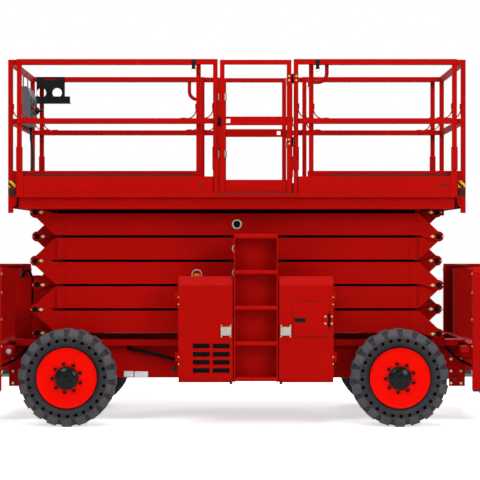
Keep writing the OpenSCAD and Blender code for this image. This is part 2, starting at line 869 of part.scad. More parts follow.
// Cross tube with ears that take the eyes of the lift rods
module rod_bracket(z, in_y) {
  ear_gap = rod_eye_w + 2 * run_gap;
  bar_y(rod_tube[0], z + rod_tube[1], -in_y - eps, in_y + eps, cross_tube_d / 2);
  run = [ram_eye[0] - rod_tube[0], ram_eye[1] - rod_tube[1]];
  half = rod_eye_r * nose_in;
  for (y = [-ram_spread / 2, ram_spread / 2], side = [-1, 1]) {
    y_mid = y + side * (ear_gap + rod_ear_t) / 2;
    difference() {
      across(y_mid - rod_ear_t / 2, y_mid + rod_ear_t / 2) translate([rod_tube[0], z + rod_tube[1]]) {
        translate(run) circle(r = rod_eye_r);
        rotate(atan2(run[1], run[0])) translate([0, -half]) square([norm(run), 2 * half]);
      }
      bar_y(ram_eye[0], z + ram_eye[1], y_mid - rod_ear_t, y_mid + rod_ear_t, rod_eye_r / 2);
    }
  }
}

// Lift cylinders: a pair side by side, along X from the base pivot, then set at their angle
module at_ram(k) {
  for (y = [-ram_spread / 2, ram_spread / 2])
    translate([ram_base[0], y, mid_level(k) + ram_base[1]]) rotate([0, -ram_angle, 0]) children();
}

// Round bar along a cylinder's own axis
module ram_bar(x0, x1, d) { translate([x0, 0, 0]) rotate([0, 90, 0]) cylinder(d = d, h = x1 - x0); }

module lift_barrels(k) {
  ring = ram_base_ring_r;
  color(BLACK) at_ram(k) difference() {
    union() {
      bar_y(0, 0, -ram_ring_w / 2, ram_ring_w / 2, ring);
      ram_bar(ring - ram_ring_weld, barrel_l, barrel_d);
    }
    bar_y(0, 0, -barrel_d, barrel_d, cross_tube_d / 2 + fit);
    ram_bar(ring + barrel_end_t, barrel_l - barrel_end_t, barrel_bore_d);
    ram_bar(barrel_l - barrel_end_t - 1, barrel_l + 1, rod_d + 2 * fit);
  }
}

module lift_rods(k) {
  color(STEEL) at_ram(k) difference() {
    union() {
      ram_bar(ram_length - rod_in_l, ram_length - rod_eye_r / 2, rod_d);
      translate([ram_length, 0, 0]) bar_y(0, 0, -rod_eye_w / 2, rod_eye_w / 2, rod_eye_r);
    }
    translate([ram_length, 0, 0]) bar_y(0, 0, -rod_eye_w, rod_eye_w, rod_eye_r / 2);
  }
}

// Ladders
module ladders() {
  color(RED) both_sides() {
    for (x = [ladder_x0, ladder_x1 - ladder_t])
      box([x, -door_y, door_z0], [x + ladder_t, -ladder_back_y + ladder_t, ladder_z1]);
    box([ladder_x0 + eps, -ladder_back_y, door_z0], [ladder_x1 - eps, -ladder_back_y + ladder_t, ladder_z1]);
    for (i = [0 : tread_n - 1]) {
      z = tread_z0 + i * (tread_z1 - tread_z0) / (tread_n - 1);
      box([ladder_x0 + eps, -door_y, z - tread_t / 2],
          [ladder_x1 - eps, -ladder_back_y + eps, z + tread_t / 2]);
    }
  }
}

// Cabinets: open boxes that the doors close; front ones mirror the rear ones about the ladder
module at_cabinet(front) {
  translate([gate_x, 0, 0]) mirror([front ? 1 : 0, 0, 0]) translate([ladder_w / 2 + 4, 0, 0]) children();
}

// Rear near cabinet in its own frame: X from the ladder outwards
module cabinet_shell() {
  w = cabinet_w;
  t = cabinet_wall;
  difference() {
    box([cabinet_gap, -cabinet_y1, cabinet_z0], [w, -cabinet_y0, cabinet_z1]);
    box([cabinet_gap + t, -cabinet_y1 - 1, cabinet_z0 + t], [w - t, -cabinet_y0 - t, cabinet_z1 - t]);
    along(cabinet_gap - 1, w + 1) polygon([
      [-cabinet_y1 - 1, cabinet_z1 - cabinet_cut_h], [-cabinet_y1, cabinet_z1 - cabinet_cut_h],
      [-cabinet_y1 + cabinet_cut_w, cabinet_z1], [-cabinet_y1 + cabinet_cut_w, cabinet_z1 + 1],
      [-cabinet_y1 - 1, cabinet_z1 + 1]
    ]);
  }
  for (z = hinge_z) {
    for (ear = [z - hinge_ear_t - hinge_play, z + hinge_h + hinge_play])
      box([w - eps, -hinge_y - hinge_r, ear],
          [w + hinge_out + hinge_r, -cabinet_y1 + hinge_grip, ear + hinge_ear_t]);
    bar_z(w + hinge_out, -hinge_y, z - hinge_ear_t, z + hinge_h + hinge_ear_t, hinge_pin_r);
  }
}

module cabinets() {
  color(RED) both_sides() {
    at_cabinet(false) cabinet_shell();
    at_cabinet(true) cabinet_shell();
  }
}

// Door in the cabinet's frame: a panel bent in at its top and bottom, with two hinge knuckles
module door_panel() {
  t = door_t;
  h = door_z1 - door_z0;
  foot = door_foot;
  brow = door_brow;
  along(door_gap, cabinet_w - door_edge_in) translate([-door_y, door_z0]) polygon([
    [foot[0], 0], [0, foot[1]], [0, h - brow[1]], [brow[0], h], [door_top_w, h], [door_top_w, h - t],
    [brow[0] + t / 2, h - t], [t, h - brow[1] - t / 3], [t, foot[1] + t / 3],
    [foot[0] + t, foot[1] / 3], [foot[0] + t, 0]
  ]);
  for (z = hinge_z) difference() {
    union() {
      bar_z(cabinet_w + hinge_out, -hinge_y, z, z + hinge_h, hinge_r);
      box([cabinet_w - door_edge_in - eps, -hinge_y - hinge_leaf_t / 2, z],
          [cabinet_w + hinge_out - hinge_pin_r, -hinge_y + hinge_leaf_t / 2, z + hinge_h]);
    }
    bar_z(cabinet_w + hinge_out, -hinge_y, z - 1, z + hinge_h + 1, hinge_pin_r + fit);
  }
  latch_handle();
}

// Pull latch by the ladder
module latch_handle() {
  z = door_z0 + latch_z;
  box([latch_in, -door_y - latch_t, z], [latch_in + latch_w, -door_y + eps, z + latch_h]);
}

module louvres() {
  for (x = louvre_x, z = louvre_z)
    box([cabinet_w - x - louvre_size[0], -door_y - 1, door_z0 + z],
        [cabinet_w - x, -door_y + door_t + 1, door_z0 + z + louvre_size[1]]);
}

module door(front, far) {
  color(RED) on_side(far) at_cabinet(front) difference() {
    union() {
      door_panel();
      if (!front && !far) control_pocket();
    }
    if (front) louvres();
    if (!front && !far)
      box([lid_x[0] + lid_frame, -door_y - 1, door_z0 + lid_z[0] + lid_frame],
          [lid_x[1] - lid_frame, -door_y + pocket_depth, door_z0 + lid_z[1] - lid_frame]);
  }
}

// Recess behind the control lid, with the lid's hinge ears
module control_pocket() {
  edge = lid_frame - pocket_wall;
  z = door_z0 + lid_hinge_z0;
  x = lid_x[1] + lid_hinge_in;
  box([lid_x[0] + edge, -door_y + door_t - eps, door_z0 + lid_z[0] + edge],
      [lid_x[1] - edge, -door_y + pocket_depth + pocket_wall, door_z0 + lid_z[1] - edge]);
  for (ear = [z - lid_ear_h - hinge_play, z + lid_hinge_h + hinge_play])
    box([x - lid_hinge_r - 1, -door_y - lid_hinge_out - lid_hinge_r, ear],
        [x + lid_hinge_r + 1, -door_y + eps, ear + lid_ear_h]);
  bar_z(x, -door_y - lid_hinge_out, z - lid_ear_h, z + lid_hinge_h + lid_ear_h, lid_pin_r);
}

module control_lid() {
  z = door_z0 + lid_hinge_z0;
  x = lid_x[1] + lid_hinge_in;
  y = -door_y - lid_hinge_out;
  color(RED) at_cabinet(false) {
    across(-door_y - lid_t - seat, -door_y - seat)
      translate([lid_x[0], door_z0 + lid_z[0]])
        rounded(lid_x[1] - lid_x[0], lid_z[1] - lid_z[0], lid_corner);
    difference() {
      union() {
        bar_z(x, y, z, z + lid_hinge_h, lid_hinge_r);
        box([lid_x[1] - eps, y - lid_leaf_t / 2, z], [x - lid_pin_r, y + lid_leaf_t / 2, z + lid_hinge_h]);
      }
      bar_z(x, y, z - 1, z + lid_hinge_h + 1, lid_pin_r + fit);
    }
  }
}

// Rectangle with round corners, drawn from its lower left corner
module rounded(w, h, r) {
  translate([r, 0]) square([w - 2 * r, h]);
  translate([0, r]) square([w, h - 2 * r]);
  for (x = [r, w - r], y = [r, h - r]) translate([x, y]) circle(r = r);
}

module engine() {
  color(GREY) at_cabinet(true)
    stowed(engine_gap, engine_drop);
}

module tanks() {
  color(BLACK) {
    at_cabinet(false) stowed(control_tank_gap, tank_drop);
    on_side(true) at_cabinet(true) stowed(tank_gap, fuel_tank_drop);
    on_side(true) at_cabinet(false) stowed(tank_gap, tank_drop);
  }
}
// Block on a cabinet's floor, behind a gap at the door and under a drop from the roof
module stowed(front_gap, drop) {
  side = cabinet_wall + stowed_room;
  box([cabinet_gap + side, -cabinet_y1 + front_gap, cabinet_z0 + cabinet_wall],
      [cabinet_w - side, -cabinet_y0 - side, cabinet_z1 - drop]);
}

// Amber lamp under a guard hoop on the front near cabinet
module beacon() {
  color(AMBER) at_cabinet(true) translate([cabinet_w - lamp_in, -cabinet_y1 + lamp_back, cabinet_z1]) {
    cylinder(r = hoop_r + hoop_bar_r, h = lamp_foot_t);
    cylinder(r = lamp_r, h = lamp_h);
    translate([0, 0, lamp_h]) difference() {
      sphere(r = lamp_dome_r);
      translate([0, 0, -lamp_r]) cylinder(r = lamp_r, h = lamp_r - eps);
    }
    for (x = [-hoop_r, hoop_r]) bar_z(x, 0, 0, hoop_z, hoop_leg_r);
    difference() {
      translate([0, 0, hoop_z]) rotate([90, 0, 0])
        rotate_extrude() translate([hoop_r, 0]) circle(r = hoop_bar_r);
      cube(2 * (hoop_z - hoop_leg_r), center = true);
    }
  }
}

// Platform
module platform_deck() {
  lug_y = inner_y - arm_w / 2;
  track_y = outer_y - arm_w / 2;
  lug_w = pin_lug_w;
  color(RED) difference() {
    union() {
      box([-deck_x, -deck_y + toe_t, deck_z - floor_t], [deck_x, deck_y - toe_t, deck_z]);
      both_sides() {
        box([-deck_x, -deck_y - edge_strip_out, under_z1], [deck_x, -deck_y + edge_strip_w, deck_z]);
        for (x = [-deck_x, deck_x - socket_w]) post_socket(x, socket_w);
        for (x = [gate_post_x[0] + post_tube - gate_socket_w, gate_post_x[1]]) post_socket(x, gate_socket_w);
        box([-deck_x, -deck_y, deck_z - eps], [gate_post_x[0], -deck_y + toe_t, deck_z + toe_h]);
        box([gate_post_x[1] + post_tube, -deck_y, deck_z - eps], [deck_x, -deck_y + toe_t, deck_z + toe_h]);
        box([-deck_x + under_beam_short, -under_beam_y - under_beam_w, under_z0],
            [deck_x - under_beam_short, -under_beam_y, deck_z - floor_t + eps]);
        box([-deck_x + under_beam_short, -track_y - tongue_w / 2 - track_wider, track_z],
            [track_past, -track_y + tongue_w / 2 + track_wider, deck_z - floor_t + eps]);
        across(-lug_y - tongue_w / 2, -lug_y + tongue_w / 2) {
          translate([pin_x, level(STAGES)]) circle(d = nose_d);
          polygon([
            [pin_x - lug_w / 2, deck_z - floor_t + eps], [pin_x + lug_w / 2, deck_z - floor_t + eps],
            [pin_x + nose_d / 2 * nose_in, level(STAGES)], [pin_x - nose_d / 2 * nose_in, level(STAGES)]
          ]);
        }
      }
      for (x = [-deck_x + deck_member_in, for (i = [-2 : 2]) i * deck_member_pitch, deck_x - deck_member_in])
        box([x - deck_member_w / 2, -under_beam_y - eps, track_z + deck_member_rise],
            [x + deck_member_w / 2, under_beam_y + eps, deck_z - floor_t + eps]);
    }
    both_sides() bar_y(pin_x, level(STAGES), -inner_y, -inner_y + arm_w, pin_d / 2 + fit);
  }
}

// Plate on the deck's edge that holds the foot of a post
module post_socket(x, w) {
  box([x, -deck_y - socket_out, deck_z - eps], [x + w, -deck_y + toe_t, slide_toe_z]);
}

// One side's guard rail between two posts
module rail_section(x0, x1) {
  y0 = -rail_face_y;
  y1 = y0 + rail_tube;
  mid = (rail_tube - post_tube) / 2;
  for (x = [x0, x1 - post_tube]) {
    box([x, y0 + mid, deck_z], [x + post_tube, y1 - mid, rail_top - 1]);
    box([x - sleeve_grow, y0 + mid - sleeve_grow, deck_z + sleeve_z[0]],
        [x + post_tube + sleeve_grow, y1 - mid + sleeve_grow, deck_z + sleeve_z[1]]);
  }
  for (top = [rail_top, mid_rail_top])
    box([x0, y0, top - rail_tube], [x1, y1, top]);
}

// Grab bar beside the gate, standing off the post
module grab_bar(x) {
  y = -rail_face_y - grab_out;
  bar_z(x, y, deck_z + grab_z[0], deck_z + grab_z[1], grab_r);
  for (z = [grab_z[0] + grab_end, grab_z[1] - grab_end])
    bar_y(x, deck_z + z, y, -rail_face_y + rail_tube / 2, grab_leg_r);
}

module gate_hinge_ears() {
  for (z = gate_hinge_z) {
    for (ear = [z - gate_ear_t - hinge_play, z + gate_hinge_h + hinge_play])
      box([gate_hinge_x - gate_pin_r, -gate_hinge_y - gate_hinge_r, ear],
          [gate_post_x[1] + post_tube, -gate_hinge_y + gate_pin_r + hinge_play, ear + gate_ear_t]);
    bar_z(gate_hinge_x, -gate_hinge_y, z - gate_ear_t, z + gate_hinge_h + gate_ear_t, gate_pin_r);
    back = gate_ear_t + hinge_play;
    box([gate_post_x[1] + gate_pin_r, -gate_hinge_y - gate_hinge_r, z - back],
        [gate_post_x[1] + post_tube, -gate_hinge_y + gate_hinge_r, z + gate_hinge_h + back]);
  }
}

// Half turn about the gate's middle, from the near gate to the far one
module opposite_gate(far) {
  translate([far ? 2 * gate_x : 0, 0, 0]) rotate(far ? 180 : 0) children();
}

module guard_rails(far) {
  color(RED) {
    on_side(far) {
      rail_section(-deck_x, gate_post_x[0] + post_tube);
      rail_section(gate_post_x[1], deck_x);
      grab_bar(gate_post_x[0] + post_tube / 2);
      grab_bar(gate_post_x[1] + post_tube / 2);
    }
    opposite_gate(far) gate_hinge_ears();
  }
}

// Gate frame: two uprights under a top bar, with two hinge barrels
module gate(far) {
  x = gate_frame_x;
  y = [gate_frame_y, gate_frame_y + gate_tube];
  color(RED) opposite_gate(far) difference() {
    union() {
      for (left = [x[0], x[1] - gate_tube]) box([left, y[0], gate_z0], [left + gate_tube, y[1], gate_top]);
      box([x[0], y[0], gate_top - gate_tube], [x[1], y[1], gate_top]);
      for (z = gate_hinge_z) {
        bar_z(gate_hinge_x, -gate_hinge_y, z, z + gate_hinge_h, gate_hinge_r);
        box([x[1] - gate_leaf_w, -gate_hinge_y - gate_hinge_r, z],
            [gate_hinge_x, -gate_hinge_y + gate_hinge_r / 2, z + gate_hinge_h]);
      }
    }
    for (z = gate_hinge_z) bar_z(gate_hinge_x, -gate_hinge_y, z - 1, z + gate_hinge_h + 1, gate_pin_r + fit);
  }
}

// Latch plate and kick plate between the gate's uprights
module gate_plates(far) {
  x = [gate_frame_x[0] + gate_tube, gate_frame_x[1] - gate_tube];
  y = gate_frame_y + (gate_tube - gate_plate_t) / 2;
  mid_z = mid_rail_top - rail_tube / 2;
  color(RED) opposite_gate(far) {
    difference() {
      box([x[0], y, mid_z - gate_plate_h / 2], [x[1], y + gate_plate_t, mid_z + gate_plate_h / 2]);
      box([x[0] + gate_slot_in, y - 1, mid_z - gate_slot / 2],
          [x[0] + gate_slot_in + gate_slot, y + gate_plate_t + 1, mid_z + gate_slot / 2]);
    }
    box([x[0], y, gate_z0], [x[1], y + gate_plate_t, gate_z0 + gate_toe_h]);
  }
}

// Sliding deck, drawn for the rear end: floor, end plate, toe boards and rails
module slide_deck(length) {
  x1 = slide_end_x;
  x0 = x1 - length;
  t = slide_plate_t;
  end_x = deck_x + slide_end_gap;
  box([x0, -slide_y, slide_floor_z - floor_t], [x1, slide_y, slide_floor_z]);
  box([x1 - t, -slide_y, slide_end_z0], [x1, slide_y, slide_toe_z]);
  both_sides() {
    for (y = [slide_y - runner_in, runner_mid])
      box([x0, -y, deck_z + seat], [deck_x - runner_short, -y + runner_w, slide_floor_z - floor_t + eps]);
    box([x0, -slide_y, slide_floor_z - floor_t], [x1, -slide_y + t, slide_toe_z]);
    across(-slide_y, -slide_y + t) {
      translate([end_x + cheek_r, slide_end_z0 + cheek_r]) rotate(90) quarter_disc(cheek_r);
      translate([end_x, slide_end_z0 + cheek_r]) square([x1 - end_x, slide_floor_z - slide_end_z0 - cheek_r]);
      translate([end_x + cheek_r, slide_end_z0]) square([x1 - end_x - cheek_r, cheek_r + eps]);
    }
    box([x1 - slide_lug[0], -slide_y, slide_end_z0 - slide_lug[1]],
        [x1, -slide_y + slide_lug_t, slide_end_z0 + eps]);
    for (x = [x0 + slide_post_in, x1 - slide_post])
      box([x, -slide_y, slide_floor_z], [x + slide_post, -slide_y + slide_post, rail_top - 1]);
    for (top = [rail_top, mid_rail_top])
      box([x0 + slide_post_in, -slide_y, top - rail_tube], [x1, -slide_y + slide_post, top]);
  }
  for (top = [rail_top, mid_rail_top])
    box([x1 - slide_post, -slide_y, top - rail_tube], [x1, slide_y, top]);
}

module slide_deck_front() { color(RED) on_end(true) slide_deck(slide_front_l); }
module slide_deck_rear() { color(RED) slide_deck(slide_rear_l); }

// Control box hung on the front end rail
module control_box() {
  x0 = -slide_end_x + slide_post + seat;
  x1 = x0 + box_d;
  z1 = rail_top - box_drop;
  z0 = z1 - box_h;
  color(GREY) {
    across(box_y[0], box_y[1]) polygon([
      [x0, z0], [x1 - box_foot[0], z0], [x1, z0 + box_foot[1]],
      [x1, z1 - box_brow[1]], [x1 - box_brow[0], z1], [x0, z1]
    ]);
    for (y = [box_y[0] + hook_in, box_y[1] - hook_in - hook_w])
      box([x0, y, z1 - eps], [x0 + hook_t, y + hook_w, rail_top - hook_t]);
  }
}

// Document tray on the far rail of the front sliding deck: back plate, shelf and lip
module document_tray() {
  x0 = -slide_end_x + tray_in;
  y1 = slide_y - slide_post - seat;
  z0 = rail_top - tray_h;
  color(BLACK) {
    across(y1 - tray_t, y1) translate([x0, z0]) difference() {
      square([tray_back_w, tray_h]);
      for (x = tray_hole_x) translate([x, tray_hole_z]) circle(r = tray_hole_r);
      translate(tray_slot_at) square(tray_slot);
    }
    along(x0, x0 + tray_w) translate([y1, z0]) polygon([
      [0, 0], [-tray_d, 0], [-tray_d, tray_lip_h], [-tray_d + tray_t, tray_lip_h],
      [-tray_d + tray_t, tray_t], [0, tray_t]
    ]);
  }
}

// Control cable from the box down to the sliding floor, held at the middle rail
module control_cable() {
  x0 = -slide_end_x + slide_post + seat;
  z0 = rail_top - box_drop - box_h;
  n = len(cable_route);
  m = cable_sides;
  run = (slide_floor_z - z0) / cable_route[n - 1][1];
  ring = [for (i = [0 : m - 1]) cable_d / 2 * [cos(i * 360 / m), sin(i * 360 / m)]];
  points = [for (p = cable_route, r = ring) [x0 + p[0] + r[0], cable_y + r[1], z0 + p[1] * run]];
  faces = concat(
    [[for (i = [0 : m - 1]) i]],
    [[for (i = [0 : m - 1]) n * m - 1 - i]],
    [for (j = [0 : n - 2], i = [0 : m - 1])
      [j * m + i, (j + 1) * m + i, (j + 1) * m + (i + 1) % m, j * m + (i + 1) % m]]
  );
  color(BLACK) polyhedron(points, faces, convexity = 4);
}

chassis_frame();
cabinet_trays();
hose_guard();
front_axle();
rear_axle();
outrigger_frame(true);  // outrigger_frame_front
outrigger_frame(false);  // outrigger_frame_rear
outrigger_leg(true, false);  // outrigger_leg_front_near
outrigger_leg(true, true);  // outrigger_leg_front_far
outrigger_leg(false, false);  // outrigger_leg_rear_near
outrigger_leg(false, true);  // outrigger_leg_rear_far
knuckle(false);  // knuckle_near
knuckle(true);  // knuckle_far
track_rod();
tyre(true, false);  // tyre_front_near
tyre(true, true);  // tyre_front_far
tyre(false, false);  // tyre_rear_near
tyre(false, true);  // tyre_rear_far
rim(true, false);  // rim_front_near
rim(true, true);  // rim_front_far
rim(false, false);  // rim_rear_near
rim(false, true);  // rim_rear_far
ladders();
cabinets();
engine();
tanks();
beacon();
door(true, false);  // door_front_near
door(false, false);  // door_rear_near
door(true, true);  // door_front_far
door(false, true);  // door_rear_far
control_lid();
outer_arm(1);  // outer_arm_1
outer_arm(2);  // outer_arm_2
outer_arm(3);  // outer_arm_3
outer_arm(4);  // outer_arm_4
outer_arm(5);  // outer_arm_5
inner_arm(1);  // inner_arm_1
inner_arm(2);  // inner_arm_2
inner_arm(3);  // inner_arm_3
inner_arm(4);  // inner_arm_4
inner_arm(5);  // inner_arm_5
lift_barrels(1);  // lift_barrels_lower
lift_rods(1);  // lift_rods_lower
lift_barrels(3);  // lift_barrels_upper
lift_rods(3);  // lift_rods_upper
platform_deck();
guard_rails(false);  // guard_rails_near
guard_rails(true);  // guard_rails_far
gate(false);  // gate_near
gate_plates(false);  // gate_plates_near
gate(true);  // gate_far
gate_plates(true);  // gate_plates_far
slide_deck_front();
slide_deck_rear();
control_box();
document_tray();
control_cable();
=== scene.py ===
# %% [markdown]
# # Dressing a rough-terrain scissor lift
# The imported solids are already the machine: frame, arms, decks and rails at their real size.
# This lesson gives them paint, rubber and steel, and adds the small fittings that a solid leaves out.
# Every new piece starts from a primitive, is shaped in edit mode and rides on the body that carries it.

# %% Opening the frame
import math

import bpy
from mathutils import Matrix, Vector


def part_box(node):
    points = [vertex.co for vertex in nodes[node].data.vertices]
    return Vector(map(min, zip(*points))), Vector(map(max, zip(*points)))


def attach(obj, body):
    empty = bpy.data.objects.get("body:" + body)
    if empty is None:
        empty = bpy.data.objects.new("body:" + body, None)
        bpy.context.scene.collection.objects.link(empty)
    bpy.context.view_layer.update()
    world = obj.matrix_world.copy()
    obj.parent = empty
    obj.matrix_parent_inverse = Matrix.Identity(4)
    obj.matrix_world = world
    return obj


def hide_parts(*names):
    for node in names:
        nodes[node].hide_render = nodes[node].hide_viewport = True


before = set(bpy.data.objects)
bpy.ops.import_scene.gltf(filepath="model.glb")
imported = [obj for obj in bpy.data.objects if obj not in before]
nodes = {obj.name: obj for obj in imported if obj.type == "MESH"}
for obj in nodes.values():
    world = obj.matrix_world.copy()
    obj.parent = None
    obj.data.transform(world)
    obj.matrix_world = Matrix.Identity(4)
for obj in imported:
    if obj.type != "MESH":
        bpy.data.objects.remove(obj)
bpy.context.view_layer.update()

# %% [markdown]
# ## The camera
# The picture was taken square to the side, from far away with a long lens: near and far rails almost
# line up. The distance and the width of the view come from the wheelbase and the rails of both sides.

# %% Camera at the picture's place
SENSOR_MM = 36.0
NEAR_FACE_Y = -1.145
VIEW_DISTANCE = 15.3
VIEW_WIDTH = 4.096
camera_data = bpy.data.cameras.new("picture_camera")
camera_data.sensor_width = SENSOR_MM
camera_data.lens = SENSOR_MM * VIEW_DISTANCE / VIEW_WIDTH
camera_data.clip_end = 200.0
camera = bpy.data.objects.new("picture_camera", camera_data)
camera.location = (0.027, NEAR_FACE_Y - VIEW_DISTANCE, 1.600)
camera.rotation_euler = (math.pi / 2, 0.0, 0.0)
bpy.context.scene.collection.objects.link(camera)
bpy.context.scene.camera = camera
bpy.context.scene.view_settings.view_transform = "Standard"
print("lens", round(camera_data.lens, 1), "mm")

# %% [markdown]
# ## Nodes and colours
# One small function adds a shader node, sets it up and links it. Colours are written as sRGB hex
# values, the way a paint chart gives them, and turned to the linear values that the shaders want.

# %% Shader helpers
def linear(hex_colour):
    """Linear RGBA of an sRGB hex colour."""
    channels = [int(hex_colour[i:i + 2], 16) / 255 for i in (1, 3, 5)]
    curve = [c / 12.92 if c <= 0.04045 else ((c + 0.055) / 1.055) ** 2.4 for c in channels]
    return (*curve, 1.0)


def add_node(tree, kind, inputs=None, **settings):
    """Adds one node; an input is a socket to link from or a plain value."""
    made = tree.nodes.new("ShaderNode" + kind)
    for name, value in settings.items():
        setattr(made, name, value)
    for name, value in (inputs or {}).items():
        if isinstance(value, bpy.types.NodeSocket):
            tree.links.new(value, made.inputs[name])
        else:
            made.inputs[name].default_value = value
    return made


def start_finish(name, **constants):
    """A new material with its shader; constants go on the shader's own sockets."""
    material = bpy.data.materials.new(name)
    material.use_nodes = True
    tree = material.node_tree
    surface = tree.nodes["Principled BSDF"]
    for socket, value in constants.items():
        surface.inputs[socket.replace("_", " ").title().replace("Ior", "IOR")].default_value = value
    place = add_node(tree, "TexCoord").outputs["Object"]
    return material, tree, surface, place


def blend_colours(tree, factor, first, second):
    """Colour socket between two colours."""
    inputs = {0: factor, 6: first, 7: second}
    return add_node(tree, "Mix", inputs, data_type="RGBA").outputs[2]


print("red", [round(c, 3) for c in linear("#B5100B")])

# %% [markdown]
# ## Studio
# A white product picture: a pale floor, a white surround and large soft lamps. The surround is white to
# the camera and to shiny or clear surfaces, and gives only gentle fill to everything else.

# %% Floor, world and lamps
def seen_rays(tree):
    """One for rays of the camera, of shiny surfaces and of clear ones, zero for the others."""
    ray = add_node(tree, "LightPath").outputs
    seen = add_node(tree, "Math", {0: ray["Is Camera Ray"], 1: ray["Is Glossy Ray"]}, operation="MAXIMUM")
    seen = add_node(tree, "Math", {0: seen.outputs[0], 1: ray["Is Transmission Ray"]}, operation="MAXIMUM")
    return seen.outputs[0]


def set_world(fill):
    world = bpy.data.worlds.new("white_surround")
    bpy.context.scene.world = world
    world.use_nodes = True
    tree = world.node_tree
    level = add_node(tree, "MapRange", {"Value": seen_rays(tree), "To Min": fill, "To Max": 1.0})
    sky = tree.nodes["Background"]
    sky.inputs["Color"].default_value = (1.0, 1.0, 1.0, 1.0)
    tree.links.new(level.outputs["Result"], sky.inputs["Strength"])


def add_lamp(name, place, aim, size, watts):
    lamp = bpy.data.lights.new(name, "AREA")
    lamp.shape = "DISK"
    lamp.size = size
    lamp.energy = watts
    holder = bpy.data.objects.new(name, lamp)
    holder.location = place
    holder.rotation_euler = (Vector(aim) - Vector(place)).to_track_quat("-Z", "Y").to_euler()
    bpy.context.scene.collection.objects.link(holder)


set_world(0.25)
add_lamp("key_lamp", (-6.0, -11.0, 9.5), (0.0, 0.0, 1.4), 6.0, 640)
add_lamp("fill_lamp", (8.0, -12.0, 6.0), (0.0, 0.0, 1.2), 6.0, 720)
add_lamp("top_lamp", (0.0, -3.0, 10.0), (0.0, 0.0, 1.0), 7.0, 800)
add_lamp("back_lamp", (3.0, 11.0, 8.0), (0.0, 0.0, 1.5), 6.0, 360)

bpy.ops.object.select_all(action="DESELECT")
bpy.ops.mesh.primitive_plane_add(size=120.0)
floor = bpy.context.object
floor.name = "studio_floor"
floor_paint, tree, surface, place = start_finish("studio_floor_paint", roughness=0.9)
surface.inputs["Base Color"].default_value = (0.92, 0.92, 0.92, 1.0)
FLOOR_LIFT = 0.62
lift = add_node(tree, "Math", {0: seen_rays(tree), 1: FLOOR_LIFT}, operation="MULTIPLY")
surface.inputs["Emission Color"].default_value = (1.0, 1.0, 1.0, 1.0)
tree.links.new(lift.outputs[0], surface.inputs["Emission Strength"])
floor.data.materials.append(floor_paint)
print("lamps", len(bpy.data.lights))

# %% [markdown]
# ## Sprayed enamel
# The steelwork is sprayed with two-pack enamel. The eye reads three things: soft clouds where the gun's
# passes overlap (about 0.5 m), a faint orange peel in the gloss (real grain 2 mm, drawn at 9 mm so that
# it shows), and paler edges: a painted highlight where light catches an edge, in patches that also stand
# for film that is thin and rubbed. A Bevel node finds the edges and also rounds them in the light, which
# a sharp solid can't do.

# %% Enamel
def sprayed_enamel(name, colour, shade, edge_highlight_and_rub_colour, gloss):
    material, tree, surface, place = start_finish(name, specular_ior_level=0.035)
    clouds = add_node(tree, "TexNoise", {"Vector": place, "Scale": 1 / 0.5, "Detail": 3.0})
    film = blend_colours(tree, clouds.outputs["Fac"], linear(shade), linear(colour))
    rounded = add_node(tree, "Bevel", {"Radius": 0.006}, samples=4)
    facing = add_node(tree, "NewGeometry")
    edge = add_node(tree, "VectorMath", {0: rounded.outputs["Normal"], 1: facing.outputs["Normal"]},
                    operation="DOT_PRODUCT")
    # Paler edges: a painted highlight on the rounded edges, mixed in patches with rubbed, thin film.
    edge_highlight_and_rub = add_node(tree, "MapRange", {"Value": edge.outputs["Value"], "From Min": 0.80, "From Max": 0.98,
                                       "To Min": 0.55, "To Max": 0.0})
    patches = add_node(tree, "TexNoise", {"Vector": place, "Scale": 1 / 0.09, "Detail": 4.0})
    patchy_edge_highlight_and_rub = add_node(tree, "Math", {0: edge_highlight_and_rub.outputs["Result"], 1: patches.outputs["Fac"]},
                      operation="MULTIPLY")
    film = blend_colours(tree, patchy_edge_highlight_and_rub.outputs[0], film, linear(edge_highlight_and_rub_colour))
    tree.links.new(film, surface.inputs["Base Color"])
    peel = add_node(tree, "TexNoise", {"Vector": place, "Scale": 1 / 0.009, "Detail": 2.0})
    dull = add_node(tree, "MapRange", {"Value": patches.outputs["Fac"], "To Min": gloss - 0.06,
                                       "To Max": gloss + 0.10})
    tree.links.new(dull.outputs["Result"], surface.inputs["Roughness"])
    relief = add_node(tree, "Bump", {"Height": peel.outputs["Fac"], "Strength": 0.06, "Distance": 0.002,
                                     "Normal": rounded.outputs["Normal"]})
    tree.links.new(relief.outputs["Normal"], surface.inputs["Normal"])
    return material


# The third colour of each enamel is its paler edge: painted highlight together with rubbed film.
red_enamel = sprayed_enamel("red_enamel_on_steel", "#A80602", "#960401", "#CC2414", 0.50)
rim_enamel = sprayed_enamel("bright_red_rim_enamel", "#E60900", "#D60700", "#FF4A30", 0.40)
black_enamel = sprayed_enamel("black_enamel_on_steel", "#0B0B0C", "#070708", "#2A2A2C", 0.40)
grey_enamel = sprayed_enamel("grey_enamel_on_steel", "#8C8F92", "#7C7F82", "#B9BBBD", 0.42)
print("enamels", red_enamel.name, rim_enamel.name)

# %% [markdown]
# ## Rubber, metals and plastics
# Solid tyres are matt, nearly black rubber with a bloom of paler dust. Cylinder rods are hard chrome with
# faint turning marks. Bolts are zinc plated and yellow passivated, so each has a slightly different
# straw colour. Mouldings have a fine spark-eroded grain (real 1 mm, drawn at 4 mm so that it shows).

